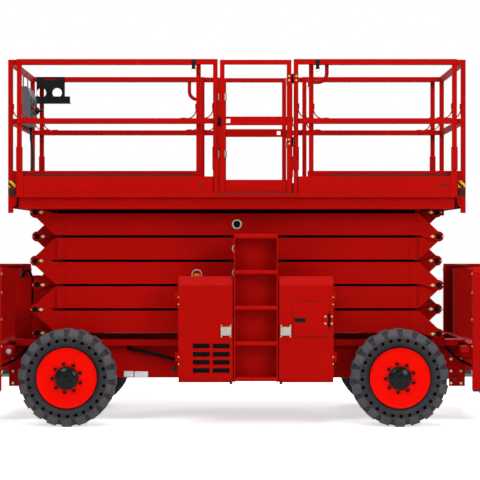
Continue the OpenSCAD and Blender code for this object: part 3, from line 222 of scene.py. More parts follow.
# %% Rubber
def moulded_rubber(name, colour, bloom):
    material, tree, surface, place = start_finish(name, specular_ior_level=0.20)
    dust = add_node(tree, "TexNoise", {"Vector": place, "Scale": 1 / 0.12, "Detail": 6.0, "Roughness": 0.7})
    amount = add_node(tree, "MapRange", {"Value": dust.outputs["Fac"], "From Min": 0.40, "From Max": 0.75,
                                         "To Max": 0.55})
    skin = blend_colours(tree, amount.outputs["Result"], linear(colour), linear(bloom))
    tree.links.new(skin, surface.inputs["Base Color"])
    grain = add_node(tree, "TexNoise", {"Vector": place, "Scale": 1 / 0.006, "Detail": 3.0})
    relief = add_node(tree, "Bump", {"Height": grain.outputs["Fac"], "Strength": 0.25, "Distance": 0.002})
    tree.links.new(relief.outputs["Normal"], surface.inputs["Normal"])
    rough = add_node(tree, "MapRange", {"Value": dust.outputs["Fac"], "To Min": 0.50, "To Max": 0.80})
    tree.links.new(rough.outputs["Result"], surface.inputs["Roughness"])
    return material


# The tyre rubber comes in two tones of one rubber: the lugs get a lighter copy as painted light, and the carcass a
# darker one as painted shade in the gaps and cooling holes between the lugs.
shaded_carcass_rubber = moulded_rubber("solid_tyre_rubber_painted_darker", "#1B1B1D", "#35343A")
lit_lug_rubber = moulded_rubber("lug_rubber_painted_lighter", "#3C3A3F", "#57545A")
hose_rubber = moulded_rubber("hose_and_cable_rubber", "#131314", "#232325")

# %% Bare metals
def bare_metal(name, colour, stain, rough, grain_mm, stretch):
    material, tree, surface, place = start_finish(name, metallic=1.0)
    along = add_node(tree, "Mapping", {"Vector": place, "Scale": stretch})
    marks = add_node(tree, "TexNoise", {"Vector": along.outputs["Vector"], "Scale": 1000 / grain_mm,
                                        "Detail": 4.0})
    tint = blend_colours(tree, marks.outputs["Fac"], linear(colour), linear(stain))
    tree.links.new(tint, surface.inputs["Base Color"])
    polish = add_node(tree, "MapRange", {"Value": marks.outputs["Fac"], "To Min": rough * 0.7,
                                         "To Max": rough * 1.4})
    tree.links.new(polish.outputs["Result"], surface.inputs["Roughness"])
    relief = add_node(tree, "Bump", {"Height": marks.outputs["Fac"], "Strength": 0.08, "Distance": 0.001})
    tree.links.new(relief.outputs["Normal"], surface.inputs["Normal"])
    return material


hard_chrome = bare_metal("hard_chrome_rod", "#D9DCE0", "#C3C7CC", 0.10, 20.0, (0.2, 1.0, 1.0))
machined_steel = bare_metal("machined_steel", "#9A9CA0", "#84868A", 0.34, 12.0, (1.0, 1.0, 1.0))
yellow_zinc = bare_metal("yellow_passivated_zinc", "#CDB988", "#A8A07E", 0.34, 45.0, (1.0, 1.0, 1.0))
bright_zinc = bare_metal("bright_zinc_plate", "#A9A49A", "#8C8880", 0.45, 30.0, (1.0, 1.0, 1.0))

# %% Plastics, casting and lens
def moulded_plastic(name, colour, shade, rough):
    material, tree, surface, place = start_finish(name, specular_ior_level=0.08)
    flow = add_node(tree, "TexNoise", {"Vector": place, "Scale": 1 / 0.2, "Detail": 2.0})
    skin = blend_colours(tree, flow.outputs["Fac"], linear(shade), linear(colour))
    tree.links.new(skin, surface.inputs["Base Color"])
    grain = add_node(tree, "TexNoise", {"Vector": place, "Scale": 1 / 0.004, "Detail": 2.0})
    relief = add_node(tree, "Bump", {"Height": grain.outputs["Fac"], "Strength": 0.15, "Distance": 0.001})
    tree.links.new(relief.outputs["Normal"], surface.inputs["Normal"])
    sheen = add_node(tree, "MapRange", {"Value": grain.outputs["Fac"], "To Min": rough - 0.08,
                                        "To Max": rough + 0.08})
    tree.links.new(sheen.outputs["Result"], surface.inputs["Roughness"])
    return material


grey_abs = moulded_plastic("grey_abs_housing", "#5A595F", "#4C4B51", 0.48)
black_abs = moulded_plastic("black_abs_moulding", "#0F0F11", "#0A0A0C", 0.45)
tank_polyethylene = moulded_plastic("black_polyethylene_tank", "#1E1E20", "#161617", 0.55)
cast_iron = moulded_plastic("painted_engine_casting", "#55575B", "#434549", 0.60)
hub_gloss = moulded_plastic("glossy_black_hub_lacquer", "#070708", "#040405", 0.14)
hub_gloss.node_tree.nodes["Principled BSDF"].inputs["Specular IOR Level"].default_value = 0.13
amber_lens = moulded_plastic("amber_polycarbonate_lens", "#B4600E", "#96480A", 0.20)
red_knob = moulded_plastic("red_abs_knob", "#C21A12", "#A8140D", 0.40)
print("finishes", len(bpy.data.materials))

# %% [markdown]
# ## Tread floor
# The decks are checker plate: raised lozenges about 35 mm long, turned by turns left and right. They are
# far too many to model, so a bump draws them where a face of the deck looks up, near floor height.

# %% Checker plate on the decks
def tread_floor(name, floor_low, floor_high):
    material = red_enamel.copy()
    material.name = name
    tree = material.node_tree
    surface = tree.nodes["Principled BSDF"]
    place = add_node(tree, "TexCoord").outputs["Object"]
    facing = add_node(tree, "NewGeometry")
    up = add_node(tree, "SeparateXYZ", {0: facing.outputs["Normal"]})
    height = add_node(tree, "SeparateXYZ", {0: place})
    level = add_node(tree, "Math", {0: up.outputs["Z"], 1: 0.9}, operation="GREATER_THAN")
    above = add_node(tree, "Math", {0: height.outputs["Z"], 1: floor_low}, operation="GREATER_THAN")
    below = add_node(tree, "Math", {0: height.outputs["Z"], 1: floor_high}, operation="LESS_THAN")
    mask = add_node(tree, "Math", {0: above.outputs[0], 1: below.outputs[0]}, operation="MULTIPLY")
    mask = add_node(tree, "Math", {0: mask.outputs[0], 1: level.outputs[0]}, operation="MULTIPLY")
    ridges = []
    for turn in (45, -45):
        spun = add_node(tree, "Mapping", {"Vector": place, "Rotation": (0.0, 0.0, math.radians(turn)),
                                          "Scale": (1 / 0.035, 1 / 0.011, 0.0)})
        dots = add_node(tree, "TexVoronoi", {"Vector": spun.outputs["Vector"], "Scale": 0.5,
                                             "Randomness": 0.0})
        ridges.append(add_node(tree, "MapRange", {"Value": dots.outputs["Distance"], "From Min": 0.20,
                                                  "From Max": 0.34, "To Min": 1.0, "To Max": 0.0}))
    both = add_node(tree, "Math", {0: ridges[0].outputs["Result"], 1: ridges[1].outputs["Result"]},
                    operation="MAXIMUM")
    shown = add_node(tree, "Math", {0: both.outputs[0], 1: mask.outputs[0]}, operation="MULTIPLY")
    old_relief = surface.inputs["Normal"].links[0].from_socket
    relief = add_node(tree, "Bump", {"Height": shown.outputs[0], "Strength": 0.9, "Distance": 0.003,
                                     "Normal": old_relief})
    tree.links.new(relief.outputs["Normal"], surface.inputs["Normal"])
    old_film = surface.inputs["Base Color"].links[0].from_socket
    scuffed = blend_colours(tree, mask.outputs[0], old_film, linear("#6E2A26"))
    tree.links.new(scuffed, surface.inputs["Base Color"])
    return material


DECK_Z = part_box("platform_deck")[1][2] - 0.199
tread_enamel = tread_floor("red_enamel_checker_plate", DECK_Z - 0.004, DECK_Z + 0.054)
print("deck floor at", round(DECK_Z, 3))

# %% [markdown]
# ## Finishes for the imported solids
# Each solid keeps its shape and gets the finish of the real thing.

# %% Painting the solids
FINISH_OF = {
    "front_axle": black_enamel, "rear_axle": black_enamel, "knuckle_near": black_enamel,
    "knuckle_far": black_enamel, "track_rod": machined_steel, "engine": cast_iron,
    "tanks": tank_polyethylene, "beacon": amber_lens, "lift_barrels_lower": black_enamel,
    "lift_barrels_upper": black_enamel, "lift_rods_lower": hard_chrome, "lift_rods_upper": hard_chrome,
    "control_box": grey_abs, "document_tray": black_abs, "control_cable": hose_rubber,
    "platform_deck": tread_enamel, "slide_deck_front": tread_enamel, "slide_deck_rear": tread_enamel,
}


def finish_of(node):
    if node in FINISH_OF:
        return FINISH_OF[node]
    if node.startswith("rim_"):
        return rim_enamel
    if node.startswith("tyre_"):
        return shaded_carcass_rubber
    if node.startswith("outrigger_leg"):
        return grey_enamel
    return red_enamel


for name, solid in nodes.items():
    solid.data.materials.clear()
    solid.data.materials.append(finish_of(name))
print("painted", len(nodes))

# %% [markdown]
# ## Modelling helpers
# A primitive is added with nothing else selected, its place is applied to its mesh, and faces are picked
# by their normal and position before an edit-mode tool works on them.

# %% Helpers for pieces
def block(low, high):
    """A box between two corners."""
    size = [b - a for a, b in zip(low, high)]
    middle = [(a + b) / 2 for a, b in zip(low, high)]
    bpy.ops.object.select_all(action="DESELECT")
    bpy.ops.mesh.primitive_cube_add(size=1.0, location=middle)
    piece = bpy.context.object
    piece.scale = size
    bpy.ops.object.transform_apply(location=True, rotation=True, scale=True)
    return piece


TURNS = {"X": (0.0, math.pi / 2, 0.0), "Y": (math.pi / 2, 0.0, 0.0), "Z": (0.0, 0.0, 0.0)}


def drum(middle, radius, depth, axis, vertices=32):
    """A cylinder about an axis."""
    bpy.ops.object.select_all(action="DESELECT")
    bpy.ops.mesh.primitive_cylinder_add(vertices=vertices, radius=radius, depth=depth, location=middle,
                                        rotation=TURNS[axis])
    bpy.ops.object.transform_apply(location=True, rotation=True, scale=True)
    return bpy.context.object


def only(piece):
    """Selects one piece and makes it active."""
    bpy.ops.object.select_all(action="DESELECT")
    piece.select_set(True)
    bpy.context.view_layer.objects.active = piece


def pick_faces(piece, wanted):
    """Enters edit mode with the faces selected whose centre and normal pass the test."""
    only(piece)
    bpy.ops.object.mode_set(mode="EDIT")
    bpy.ops.mesh.select_mode(type="FACE")
    bpy.ops.mesh.select_all(action="DESELECT")
    bpy.ops.object.mode_set(mode="OBJECT")
    for face in piece.data.polygons:
        face.select = wanted(face.center, face.normal)
    bpy.ops.object.mode_set(mode="EDIT")


def done_editing():
    bpy.ops.object.mode_set(mode="OBJECT")


def apply_modifier(piece, kind, **settings):
    only(piece)
    modifier = piece.modifiers.new(kind.lower(), kind)
    for name, value in settings.items():
        setattr(modifier, name, value)
    bpy.ops.object.modifier_apply(modifier=modifier.name)


def soften(piece, width, segments=2):
    """Rounds every sharp edge by a real width."""
    apply_modifier(piece, "BEVEL", width=width, segments=segments, limit_method="ANGLE")


def round_corners(piece, axis, radius):
    """Rounds the edges that run along one axis, 0 to 2 for X to Z."""
    only(piece)
    bpy.ops.object.mode_set(mode="EDIT")
    bpy.ops.mesh.select_mode(type="EDGE")
    bpy.ops.mesh.select_all(action="DESELECT")
    bpy.ops.object.mode_set(mode="OBJECT")
    points = piece.data.vertices
    for edge in piece.data.edges:
        a, b = (points[i].co for i in edge.vertices)
        edge.select = abs((b - a).normalized()[axis]) > 0.99
    bpy.ops.object.mode_set(mode="EDIT")
    bpy.ops.mesh.bevel(offset=radius, segments=6, affect="EDGES")
    done_editing()


def copy_at(piece, matrix):
    """A copy with its own mesh, moved by a matrix."""
    twin = piece.copy()
    twin.data = piece.data.copy()
    bpy.context.scene.collection.objects.link(twin)
    twin.data.transform(matrix)
    return twin


def moved(piece, x=0.0, y=0.0, z=0.0):
    return copy_at(piece, Matrix.Translation((x, y, z)))


def joined(pieces, name):
    """Joins pieces into the first and names it."""
    bpy.ops.object.select_all(action="DESELECT")
    for piece in pieces:
        piece.select_set(True)
    bpy.context.view_layer.objects.active = pieces[0]
    bpy.ops.object.join()
    pieces[0].name = name
    return pieces[0]


def dress(piece, finish, body):
    """Smooths a finished piece, gives it its finish and sets it on its body."""
    only(piece)
    bpy.ops.object.shade_smooth_by_angle(angle=math.radians(40))
    piece.data.materials.clear()
    piece.data.materials.append(finish)
    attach(piece, body)
    return piece


def drop(piece):
    """Removes a pattern piece once its copies are made."""
    bpy.data.objects.remove(piece, do_unlink=True)


def mirror_y(piece):
    apply_modifier(piece, "MIRROR", use_axis=(False, True, False))


print("helpers ready")

# %% [markdown]
# ## Control cable
# A rubber cable leaves the control box straight down, bows a little and goes into the sliding floor. The
# picture shows all of it, so its length is the run of its route. A poly curve with a round bevel is the
# cable itself, on a smooth line through the route's points; a tapered gland at each end grips it.

# %% Cable and glands
def smooth_route(points, steps):
    """A smooth line through all the points, with some steps between each two."""
    ends = [points[0]] + list(points) + [points[-1]]
    line = []
    for a, b, c, d in zip(ends, ends[1:], ends[2:], ends[3:]):
        a, b, c, d = (Vector(p) for p in (a, b, c, d))
        for i in range(steps):
            t = i / steps
            bend = (2 * a - 5 * b + 4 * c - d) * t ** 2 + (3 * b - a - 3 * c + d) * t ** 3
            line.append(b + 0.5 * ((c - a) * t + bend))
    return line + [Vector(points[-1])]


def round_line(name, line, radius):
    """A curve object of one open spline with a round section."""
    curve = bpy.data.curves.new(name, "CURVE")
    curve.dimensions = "3D"
    curve.bevel_depth = radius
    curve.bevel_resolution = 4
    curve.use_fill_caps = True
    spline = curve.splines.new("POLY")
    spline.points.add(len(line) - 1)
    for point, at in zip(spline.points, line):
        point.co = (*at, 1.0)
    piece = bpy.data.objects.new(name, curve)
    bpy.context.scene.collection.objects.link(piece)
    return piece


CABLE_D = 0.024
CABLE_Y = 0.240
CABLE_ROUTE = [(0.031, 0.0), (0.031, -0.060), (0.034, -0.120), (0.042, -0.190), (0.046, -0.260),
               (0.044, -0.330), (0.040, -0.400), (0.040, -0.470), (0.042, -0.530), (0.042, -0.588)]
box_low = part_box("control_box")[0]
cable_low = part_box("control_cable")[0][2]
stretch = (cable_low - box_low[2]) / CABLE_ROUTE[-1][1]
route = [(box_low[0] + out, CABLE_Y, box_low[2] + fall * stretch) for out, fall in CABLE_ROUTE]
cable_line = smooth_route(route, 3)
cable = round_line("rubber_control_cable", cable_line, CABLE_D / 2)
cable.data.materials.append(hose_rubber)
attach(cable, "slide_front")
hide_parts("control_cable")
for end, sign in ((cable_line[0], -1), (cable_line[-1], 1)):
    gland = drum((end.x, end.y, end.z + sign * 0.016), 0.020, 0.032, "Z", vertices=24)
    pick_faces(gland, lambda c, n: n.z * sign > 0.9)
    bpy.ops.transform.resize(value=(0.68, 0.68, 1.0), center_override=(end.x, end.y, end.z))
    done_editing()
    soften(gland, 0.002, 2)
    gland.name = "cable_gland_top" if sign < 0 else "cable_gland_floor"
    dress(gland, black_abs, "slide_front")

# %% [markdown]
# ## Wheels
# Solid tyres with a ring of cooling holes and nineteen chunky lugs a side. A tyre could be spun from a
# profile, but a drum whose ends are inset gives the sidewall, the bead and the tread shoulder in a few
# steps. One lug is a block with its outer face extruded down over the shoulder, copied round the tread.

# %% Tyre carcass
TYRE_R = 0.419
TYRE_HALF = 0.145
SHOULDER_R = 0.345
LUGS = 19
HOLES = 28
tyre = drum((0, 0, 0), SHOULDER_R, 2 * TYRE_HALF, "Y", vertices=114)
tyre.name = "tyre_pattern"
pick_faces(tyre, lambda c, n: abs(n.y) > 0.9)
bpy.ops.mesh.inset(thickness=SHOULDER_R - 0.300, depth=0.0, use_individual=True)
bpy.ops.mesh.inset(thickness=0.041, depth=-0.0353, use_individual=True)
bpy.ops.mesh.delete(type="FACE")
bpy.ops.mesh.select_mode(type="EDGE")
bpy.ops.mesh.select_all(action="DESELECT")
bpy.ops.mesh.select_non_manifold(extend=False)
bpy.ops.mesh.bridge_edge_loops()
done_editing()
pick_faces(tyre, lambda c, n: math.hypot(c.x, c.z) > SHOULDER_R - 0.002 and abs(n.y) < 0.1)
bpy.ops.mesh.extrude_region_shrink_fatten(TRANSFORM_OT_shrink_fatten={"value": 0.034})
bpy.ops.transform.resize(value=(1.0, 0.94, 1.0), center_override=(0, 0, 0))
bpy.ops.mesh.extrude_region_shrink_fatten(TRANSFORM_OT_shrink_fatten={"value": 0.024})
bpy.ops.transform.resize(value=(1.0, 0.84, 1.0), center_override=(0, 0, 0))
done_editing()
reach = max(math.hypot(v.co.x, v.co.z) for v in tyre.data.vertices)
print("carcass radius", round(reach, 3))

# %% Cooling holes
cutters = []
pattern = drum((0.325, 0, 0), 0.0155, 0.12, "Y", vertices=16)
for i in range(HOLES):
    for side in (-1, 1):
        turn = Matrix.Rotation(2 * math.pi * (i - 0.11) / HOLES, 4, "Y")
        cutters.append(copy_at(pattern, turn @ Matrix.Translation((0, side * TYRE_HALF, 0))))
drop(pattern)
cutter = joined(cutters, "hole_cutter")
apply_modifier(tyre, "BOOLEAN", object=cutter, operation="DIFFERENCE", solver="EXACT")
drop(cutter)
soften(tyre, 0.004, 2)
print("carcass faces", len(tyre.data.polygons))

# %% Lugs
LUG_W = 0.086
lug = block((-LUG_W / 2, 0.012, 0.372), (LUG_W / 2, 0.116, TYRE_R - 0.002))
pick_faces(lug, lambda c, n: n.y > 0.9)
bpy.ops.mesh.extrude_region_move(TRANSFORM_OT_translate={"value": (0, 0.024, -0.040)})
bpy.ops.transform.resize(value=(1.0, 1.0, 0.55), center_override=(0, 0.140, TYRE_R - 0.040))
bpy.ops.mesh.extrude_region_move(TRANSFORM_OT_translate={"value": (0, 0.0045, -0.022)})
bpy.ops.transform.resize(value=(1.0, 1.0, 0.25), center_override=(0, 0.1445, TYRE_R - 0.062))
done_editing()
pick_faces(lug, lambda c, n: n.z > 0.9)
bpy.ops.transform.resize(value=(0.96, 1.0, 1.0), center_override=(0, 0.06, TYRE_R))
done_editing()
soften(lug, 0.005, 2)
lugs = []
for i in range(LUGS):
    for side in (0, 1):
        turn = Matrix.Rotation(2 * math.pi * (i + 0.5 * side) / LUGS, 4, "Y")
        half = Matrix.Rotation(math.pi * side, 4, "Z")
        lugs.append(copy_at(lug, turn @ half))
drop(lug)
# A thin rib in the lighter lug rubber runs round each shoulder: a painted highlight along the shoulder edge.
for side in (-1, 1):
    bpy.ops.object.select_all(action="DESELECT")
    bpy.ops.mesh.primitive_torus_add(major_radius=0.3465, minor_radius=0.0035, major_segments=114,
                                     minor_segments=8, location=(0, side * 0.1425, 0),
                                     rotation=(math.pi / 2, 0, 0))
    bpy.ops.object.transform_apply(location=True, rotation=True, scale=True)
    lugs.append(bpy.context.object)
lugs = joined(lugs, "lugs_pattern")
print("tyre faces", len(tyre.data.polygons), "lug faces", len(lugs.data.polygons))

# %% [markdown]
# The hub cover is a shiny black cap over the drive hub: a low cone on a flat ring, closed by a small boss.
# Nine black nuts sit on studs round it. The cover is a drum whose outer face is inset and extruded; each nut
# is a six-sided drum on a round stud.

# %% Hub cover and wheel nuts
RIM_FACE = -0.120
hub = drum((0, -0.113, 0), 0.1005, 0.046, "Y", vertices=64)
pick_faces(hub, lambda c, n: n.y < -0.9)
bpy.ops.mesh.inset(thickness=0.012, depth=0.0)
bpy.ops.mesh.extrude_region_move(TRANSFORM_OT_translate={"value": (0, -0.003, 0)})
bpy.ops.mesh.inset(thickness=0.038, depth=0.0135)
bpy.ops.mesh.inset(thickness=0.004, depth=-0.003)
bpy.ops.mesh.inset(thickness=0.020, depth=0.0)
bpy.ops.mesh.extrude_region_move(TRANSFORM_OT_translate={"value": (0, -0.003, 0)})
done_editing()
soften(hub, 0.003, 3)

nut = drum((0.124, RIM_FACE - 0.0075, 0), 0.0155, 0.018, "Y", vertices=6)
soften(nut, 0.0015, 1)
stud = drum((0.124, RIM_FACE - 0.0100, 0), 0.008, 0.022, "Y", vertices=12)
soften(stud, 0.0015, 1)
nut = joined([nut, stud], "nut_pattern")
FIRST_NUT = math.radians(18.5)
nuts = [copy_at(nut, Matrix.Rotation(FIRST_NUT + 2 * math.pi * i / 9, 4, "Y")) for i in range(9)]
drop(nut)
nuts = joined(nuts, "nuts_pattern")
bpy.ops.object.select_all(action="DESELECT")
bpy.ops.mesh.primitive_torus_add(major_radius=0.2535, minor_radius=0.0055, major_segments=96, minor_segments=10,
                                 location=(0, -0.1265, 0), rotation=(math.pi / 2, 0, 0))
bpy.ops.object.transform_apply(location=True, rotation=True, scale=True)
bead = bpy.context.object
print("hub faces", len(hub.data.polygons), "nut faces", len(nuts.data.polygons))

# %% Four wheels
WHEELS = {"front": (-1.455, 0.419), "rear": (1.395, 0.419)}
for end, (x, z) in WHEELS.items():
    for side, sign in (("near", -1), ("far", 1)):
        body = f"wheel_{end}_{side}"
        to_wheel = Matrix.Translation((x, sign * 1.0, z))
        outward = Matrix.Rotation(math.pi if sign > 0 else 0.0, 4, "Z")
        rubber = dress(copy_at(tyre, to_wheel @ outward), shaded_carcass_rubber, body)
        rubber.name = f"lugged_tyre_{end}_{side}"
        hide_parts(f"tyre_{end}_{side}")
        tread = dress(copy_at(lugs, to_wheel @ outward), lit_lug_rubber, body)
        tread.name = f"tread_lugs_{end}_{side}"
        lip = dress(copy_at(bead, to_wheel @ outward), rim_enamel, body)
        lip.name = f"rim_bead_{end}_{side}"
        cover = dress(copy_at(hub, to_wheel @ outward), hub_gloss, body)
        cover.name = f"hub_cover_{end}_{side}"
        ring = dress(copy_at(nuts, to_wheel @ outward), black_enamel, body)
        ring.name = f"wheel_nuts_{end}_{side}"
for pattern in (tyre, lugs, bead, hub, nuts):
    drop(pattern)
print("wheels dressed", len(WHEELS) * 2)

# %% [markdown]
# ## Bolts
# Plated hex bolts hold latches, hinges, keeper strips and rail feet. One head with a washer is modelled
# once: a six-sided drum on a thin round one, with its edges softened. Copies are joined into one piece for
# each body, so that a hundred bolts stay a handful of objects.

# %% Bolt pattern
def bolt_pattern(across_flats, height):
    """A hex head on a washer, seated at the origin and pointing to -Y."""
    washer = drum((0, -0.1 * height, 0), across_flats * 0.62, 0.2 * height, "Y", vertices=20)
    head = drum((0, -0.6 * height, 0), across_flats * 0.577, 0.8 * height, "Y", vertices=6)
    soften(head, 0.08 * across_flats, 1)
    return joined([washer, head], "bolt_pattern")


FACE_TURNS = {
    "-Y": Matrix.Identity(4), "+Y": Matrix.Rotation(math.pi, 4, "Z"),
    "-X": Matrix.Rotation(-math.pi / 2, 4, "Z"), "+X": Matrix.Rotation(math.pi / 2, 4, "Z"),
    "+Z": Matrix.Rotation(-math.pi / 2, 4, "X"), "-Z": Matrix.Rotation(math.pi / 2, 4, "X"),
}


def bolts(name, body, places, facing, size=0.018, height=0.008, finish=None):
    """Bolt heads at a list of places, all facing one way or each its own way."""
    pattern = bolt_pattern(size, height)
    ways = facing if isinstance(facing, list) else [facing] * len(places)
    heads = [copy_at(pattern, Matrix.Translation(p) @ FACE_TURNS[w]) for p, w in zip(places, ways)]
    drop(pattern)
    return dress(joined(heads, name), finish or yellow_zinc, body)


def near_and_far(pieces):
    """Mirrored twins on the other side of the machine, with their normals turned back."""
    twins = [copy_at(piece, Matrix.Scale(-1, 4, (0, 1, 0))) for piece in pieces]
    for twin in twins:
        twin.data.flip_normals()
    return twins


print("bolt ready")

# %% [markdown]
# ## Scissor pins
# Each end pin has a dark turned head. A thin plated keeper strip passes under the head to the edge of the
# nose, and one bolt further in holds the strip, so that the pin can't turn. The set is built once at the
# origin, facing out to the near side, and copied to the ends of the arms that own the pins.

# %% Pin heads and keepers
PIN_X = 1.772
PIN_LEVELS = [0.775 + 0.214 * i for i in range(6)]
ARM_FACE = 0.690
PIN_HEAD_T = 0.006


def pin_patterns():
    head = drum((0, -0.0045, 0), 0.0255, 0.009, "Y", vertices=40)
    pick_faces(head, lambda c, n: n.y < -0.9)
    bpy.ops.mesh.inset(thickness=0.006, depth=0.0)
    bpy.ops.mesh.inset(thickness=0.003, depth=-0.002)
    done_editing()
    soften(head, 0.0012, 2)
    strip = block((-0.044, -0.0045, -0.0035), (0.072, 0.0, 0.0035))
    soften(strip, 0.0012, 2)
    bolt = bolt_pattern(0.022, 0.011)
    bolt.data.transform(Matrix.Translation((0.053, -0.0045, 0)))
    return head, joined([strip, bolt], "keeper_pattern")


head_pattern, keeper_pattern = pin_patterns()
ARM_SETS = (("outer", ARM_FACE, 1), ("inner", 0.550, -1))
for stage in (1, 3, 5):
    for kind, face_y, lower_end in ARM_SETS:
        heads, keepers = [], []
        for end, level in ((lower_end, PIN_LEVELS[stage - 1]), (-lower_end, PIN_LEVELS[stage])):
            for side in (-1, 1):
                half_turn = Matrix.Rotation(math.pi if end * side < 0 else 0.0, 4, "Y")
                facing = FACE_TURNS["-Y" if side < 0 else "+Y"]
                at = Matrix.Translation((end * PIN_X, side * face_y, level)) @ facing @ half_turn
                heads.append(copy_at(head_pattern, at))
                keepers.append(copy_at(keeper_pattern, at))
        body = f"{kind}_arm_{stage}"
        dress(joined(heads, f"pin_heads_{kind}_{stage}"), black_enamel, body)
        dress(joined(keepers, f"pin_keepers_{kind}_{stage}"), yellow_zinc, body)
drop(head_pattern)
drop(keeper_pattern)
print("pin ends", 24)

# %% [markdown]
# The centre pins are hollow, with a bright plated rim round a black disc that paints the shade in the bore.
# A weld seam runs down each arm where its nose plates meet the box, 258 mm from the pin: a thin round bar
# half sunk in the face gives the bead.

# %% Centre rings and weld seams
SEAM_FROM_PIN = 0.258
ARM_HALF_H = 0.096
ring = drum((0, -0.004, 0), 0.0430, 0.008, "Y", vertices=48)
pick_faces(ring, lambda c, n: n.y < -0.9)
bpy.ops.mesh.inset(thickness=0.0118, depth=0.0)
bpy.ops.mesh.extrude_region_move(TRANSFORM_OT_translate={"value": (0, 0.0075, 0)})
done_editing()
soften(ring, 0.001, 2)
for stage in range(1, 6):
    middle = (PIN_LEVELS[stage - 1] + PIN_LEVELS[stage]) / 2
    rings, bore_shade_discs, seams = [], [], []
    for side in (-1, 1):
        face = FACE_TURNS["-Y" if side < 0 else "+Y"]
        seat = side * (ARM_FACE + PIN_HEAD_T - 0.003)
        rings.append(copy_at(ring, Matrix.Translation((0, seat, middle)) @ face))
        # A black disc in each bore: painted shade inside the hollow pin.
        bore_shade_discs.append(drum((0, seat + side * 0.002, middle), 0.0312, 0.004, "Y", vertices=40))
        for end in (-1, 1):
            seam = drum((end * (PIN_X - SEAM_FROM_PIN), side * ARM_FACE, middle), 0.0035, 2 * ARM_HALF_H, "Z", 10)
            pick_faces(seam, lambda c, n: abs(n.z) > 0.9)
            bpy.ops.mesh.inset(thickness=0.0015, depth=0.001)
            done_editing()
            seams.append(seam)
            if stage % 2:
                x = end * (PIN_X - SEAM_FROM_PIN / 2 - 0.065)
                seams.append(drum((x, side * ARM_FACE, middle - end * 0.061), 0.0025, 0.118, "X", 10))
    dress(joined(rings, f"centre_rings_{stage}"), bright_zinc, f"outer_arm_{stage}")
    dress(joined(bore_shade_discs, f"centre_bore_shade_discs_{stage}"), black_enamel, f"outer_arm_{stage}")
    dress(joined(seams, f"weld_seams_{stage}"), red_enamel, f"outer_arm_{stage}")
drop(ring)
print("centre rings", 10)

# %% [markdown]
# ## Cabinet doors
# The doors close with plated paddle latches: a plate with a dished paddle and a bolt in each corner. The
# front doors breathe through eight slots with blades behind, and behind them a black screen paints the shade
# inside the slots. The rear near door has the ground controls' lid, with a finger slot and one black strap hinge.

# %% Latches
DOOR_Y = 1.120
LADDER_X = (-0.0255, 0.3515)
CABINET_EDGE = (LADDER_X[0] - 0.004, LADDER_X[1] + 0.004)
LATCH = {"in": 0.018, "w": 0.090, "z0": 0.784, "z1": 0.858, "out": 0.018}


def latch_pattern(x0, x1):
    plate = block((x0, -DOOR_Y - LATCH["out"], LATCH["z0"]), (x1, -DOOR_Y, LATCH["z1"]))
    pick_faces(plate, lambda c, n: n.y < -0.9)
    bpy.ops.mesh.inset(thickness=0.006, depth=0.0)
    bpy.ops.mesh.inset(thickness=0.006, depth=-0.003)
    bpy.ops.mesh.extrude_region_move(TRANSFORM_OT_translate={"value": (0, -0.002, 0)})
    done_editing()
    soften(plate, 0.002, 2)
    return plate


for end, sign in (("front", -1), ("rear", 1)):
    edge = CABINET_EDGE[0] if sign < 0 else CABINET_EDGE[1]
    xs = sorted((edge + sign * LATCH["in"], edge + sign * (LATCH["in"] + LATCH["w"])))
    near = latch_pattern(*xs)
    far = near_and_far([near])[0]
    corner_xs = (xs[0] + 0.006, xs[1] - 0.006)
    corner_zs = (LATCH["z0"] - 0.010, LATCH["z1"] + 0.010)
    for side, plate, way in (("near", near, "-Y"), ("far", far, "+Y")):
        y = -DOOR_Y if way == "-Y" else DOOR_Y
        dress(plate, bright_zinc, f"door_{end}_{side}").name = f"latch_{end}_{side}"
        places = [(x, y, z) for x in corner_xs for z in corner_zs]
        bolts(f"latch_bolts_{end}_{side}", f"door_{end}_{side}", places, way, 0.011, 0.005)
print("latches", 4)

# %% Louvre screens
OUTER_EDGE = CABINET_EDGE[0] - 0.476
SLOT_X = [OUTER_EDGE + 0.129, OUTER_EDGE + 0.299]
SLOT_Z = [0.381 + h for h in (0.082, 0.152, 0.221, 0.292)]
SLOT_W, SLOT_H = 0.144, 0.042
# A black sheet behind the slots: painted shade inside the openings.
shade_screen = block((SLOT_X[0] - 0.02, -1.0945, SLOT_Z[0] - 0.02), (SLOT_X[1] + SLOT_W + 0.02, -1.0915, SLOT_Z[3] + 0.062))
soften(shade_screen, 0.001, 1)
blades = []
for x in SLOT_X:
    for z in SLOT_Z:
        for k in range(9):
            rib = block((x + 0.008 + 0.016 * k, -1.103, z), (x + 0.011 + 0.016 * k, -1.0935, z + SLOT_H))
            blades.append(rib)
        hood = block((x, -1.110, z + 0.019), (x + SLOT_W, -1.096, z + 0.022))
        pick_faces(hood, lambda c, n: n.y < -0.9)
        bpy.ops.transform.translate(value=(0, 0, -0.008))
        done_editing()
        blades.append(hood)
near_screen = joined([shade_screen] + blades, "louvres_and_shade_screen_front_near")
far_screen = near_and_far([near_screen])[0]
far_screen.name = "louvres_and_shade_screen_front_far"
dress(near_screen, black_abs, "door_front_near")
dress(far_screen, black_abs, "door_front_far")
print("louvre faces", len(near_screen.data.polygons))

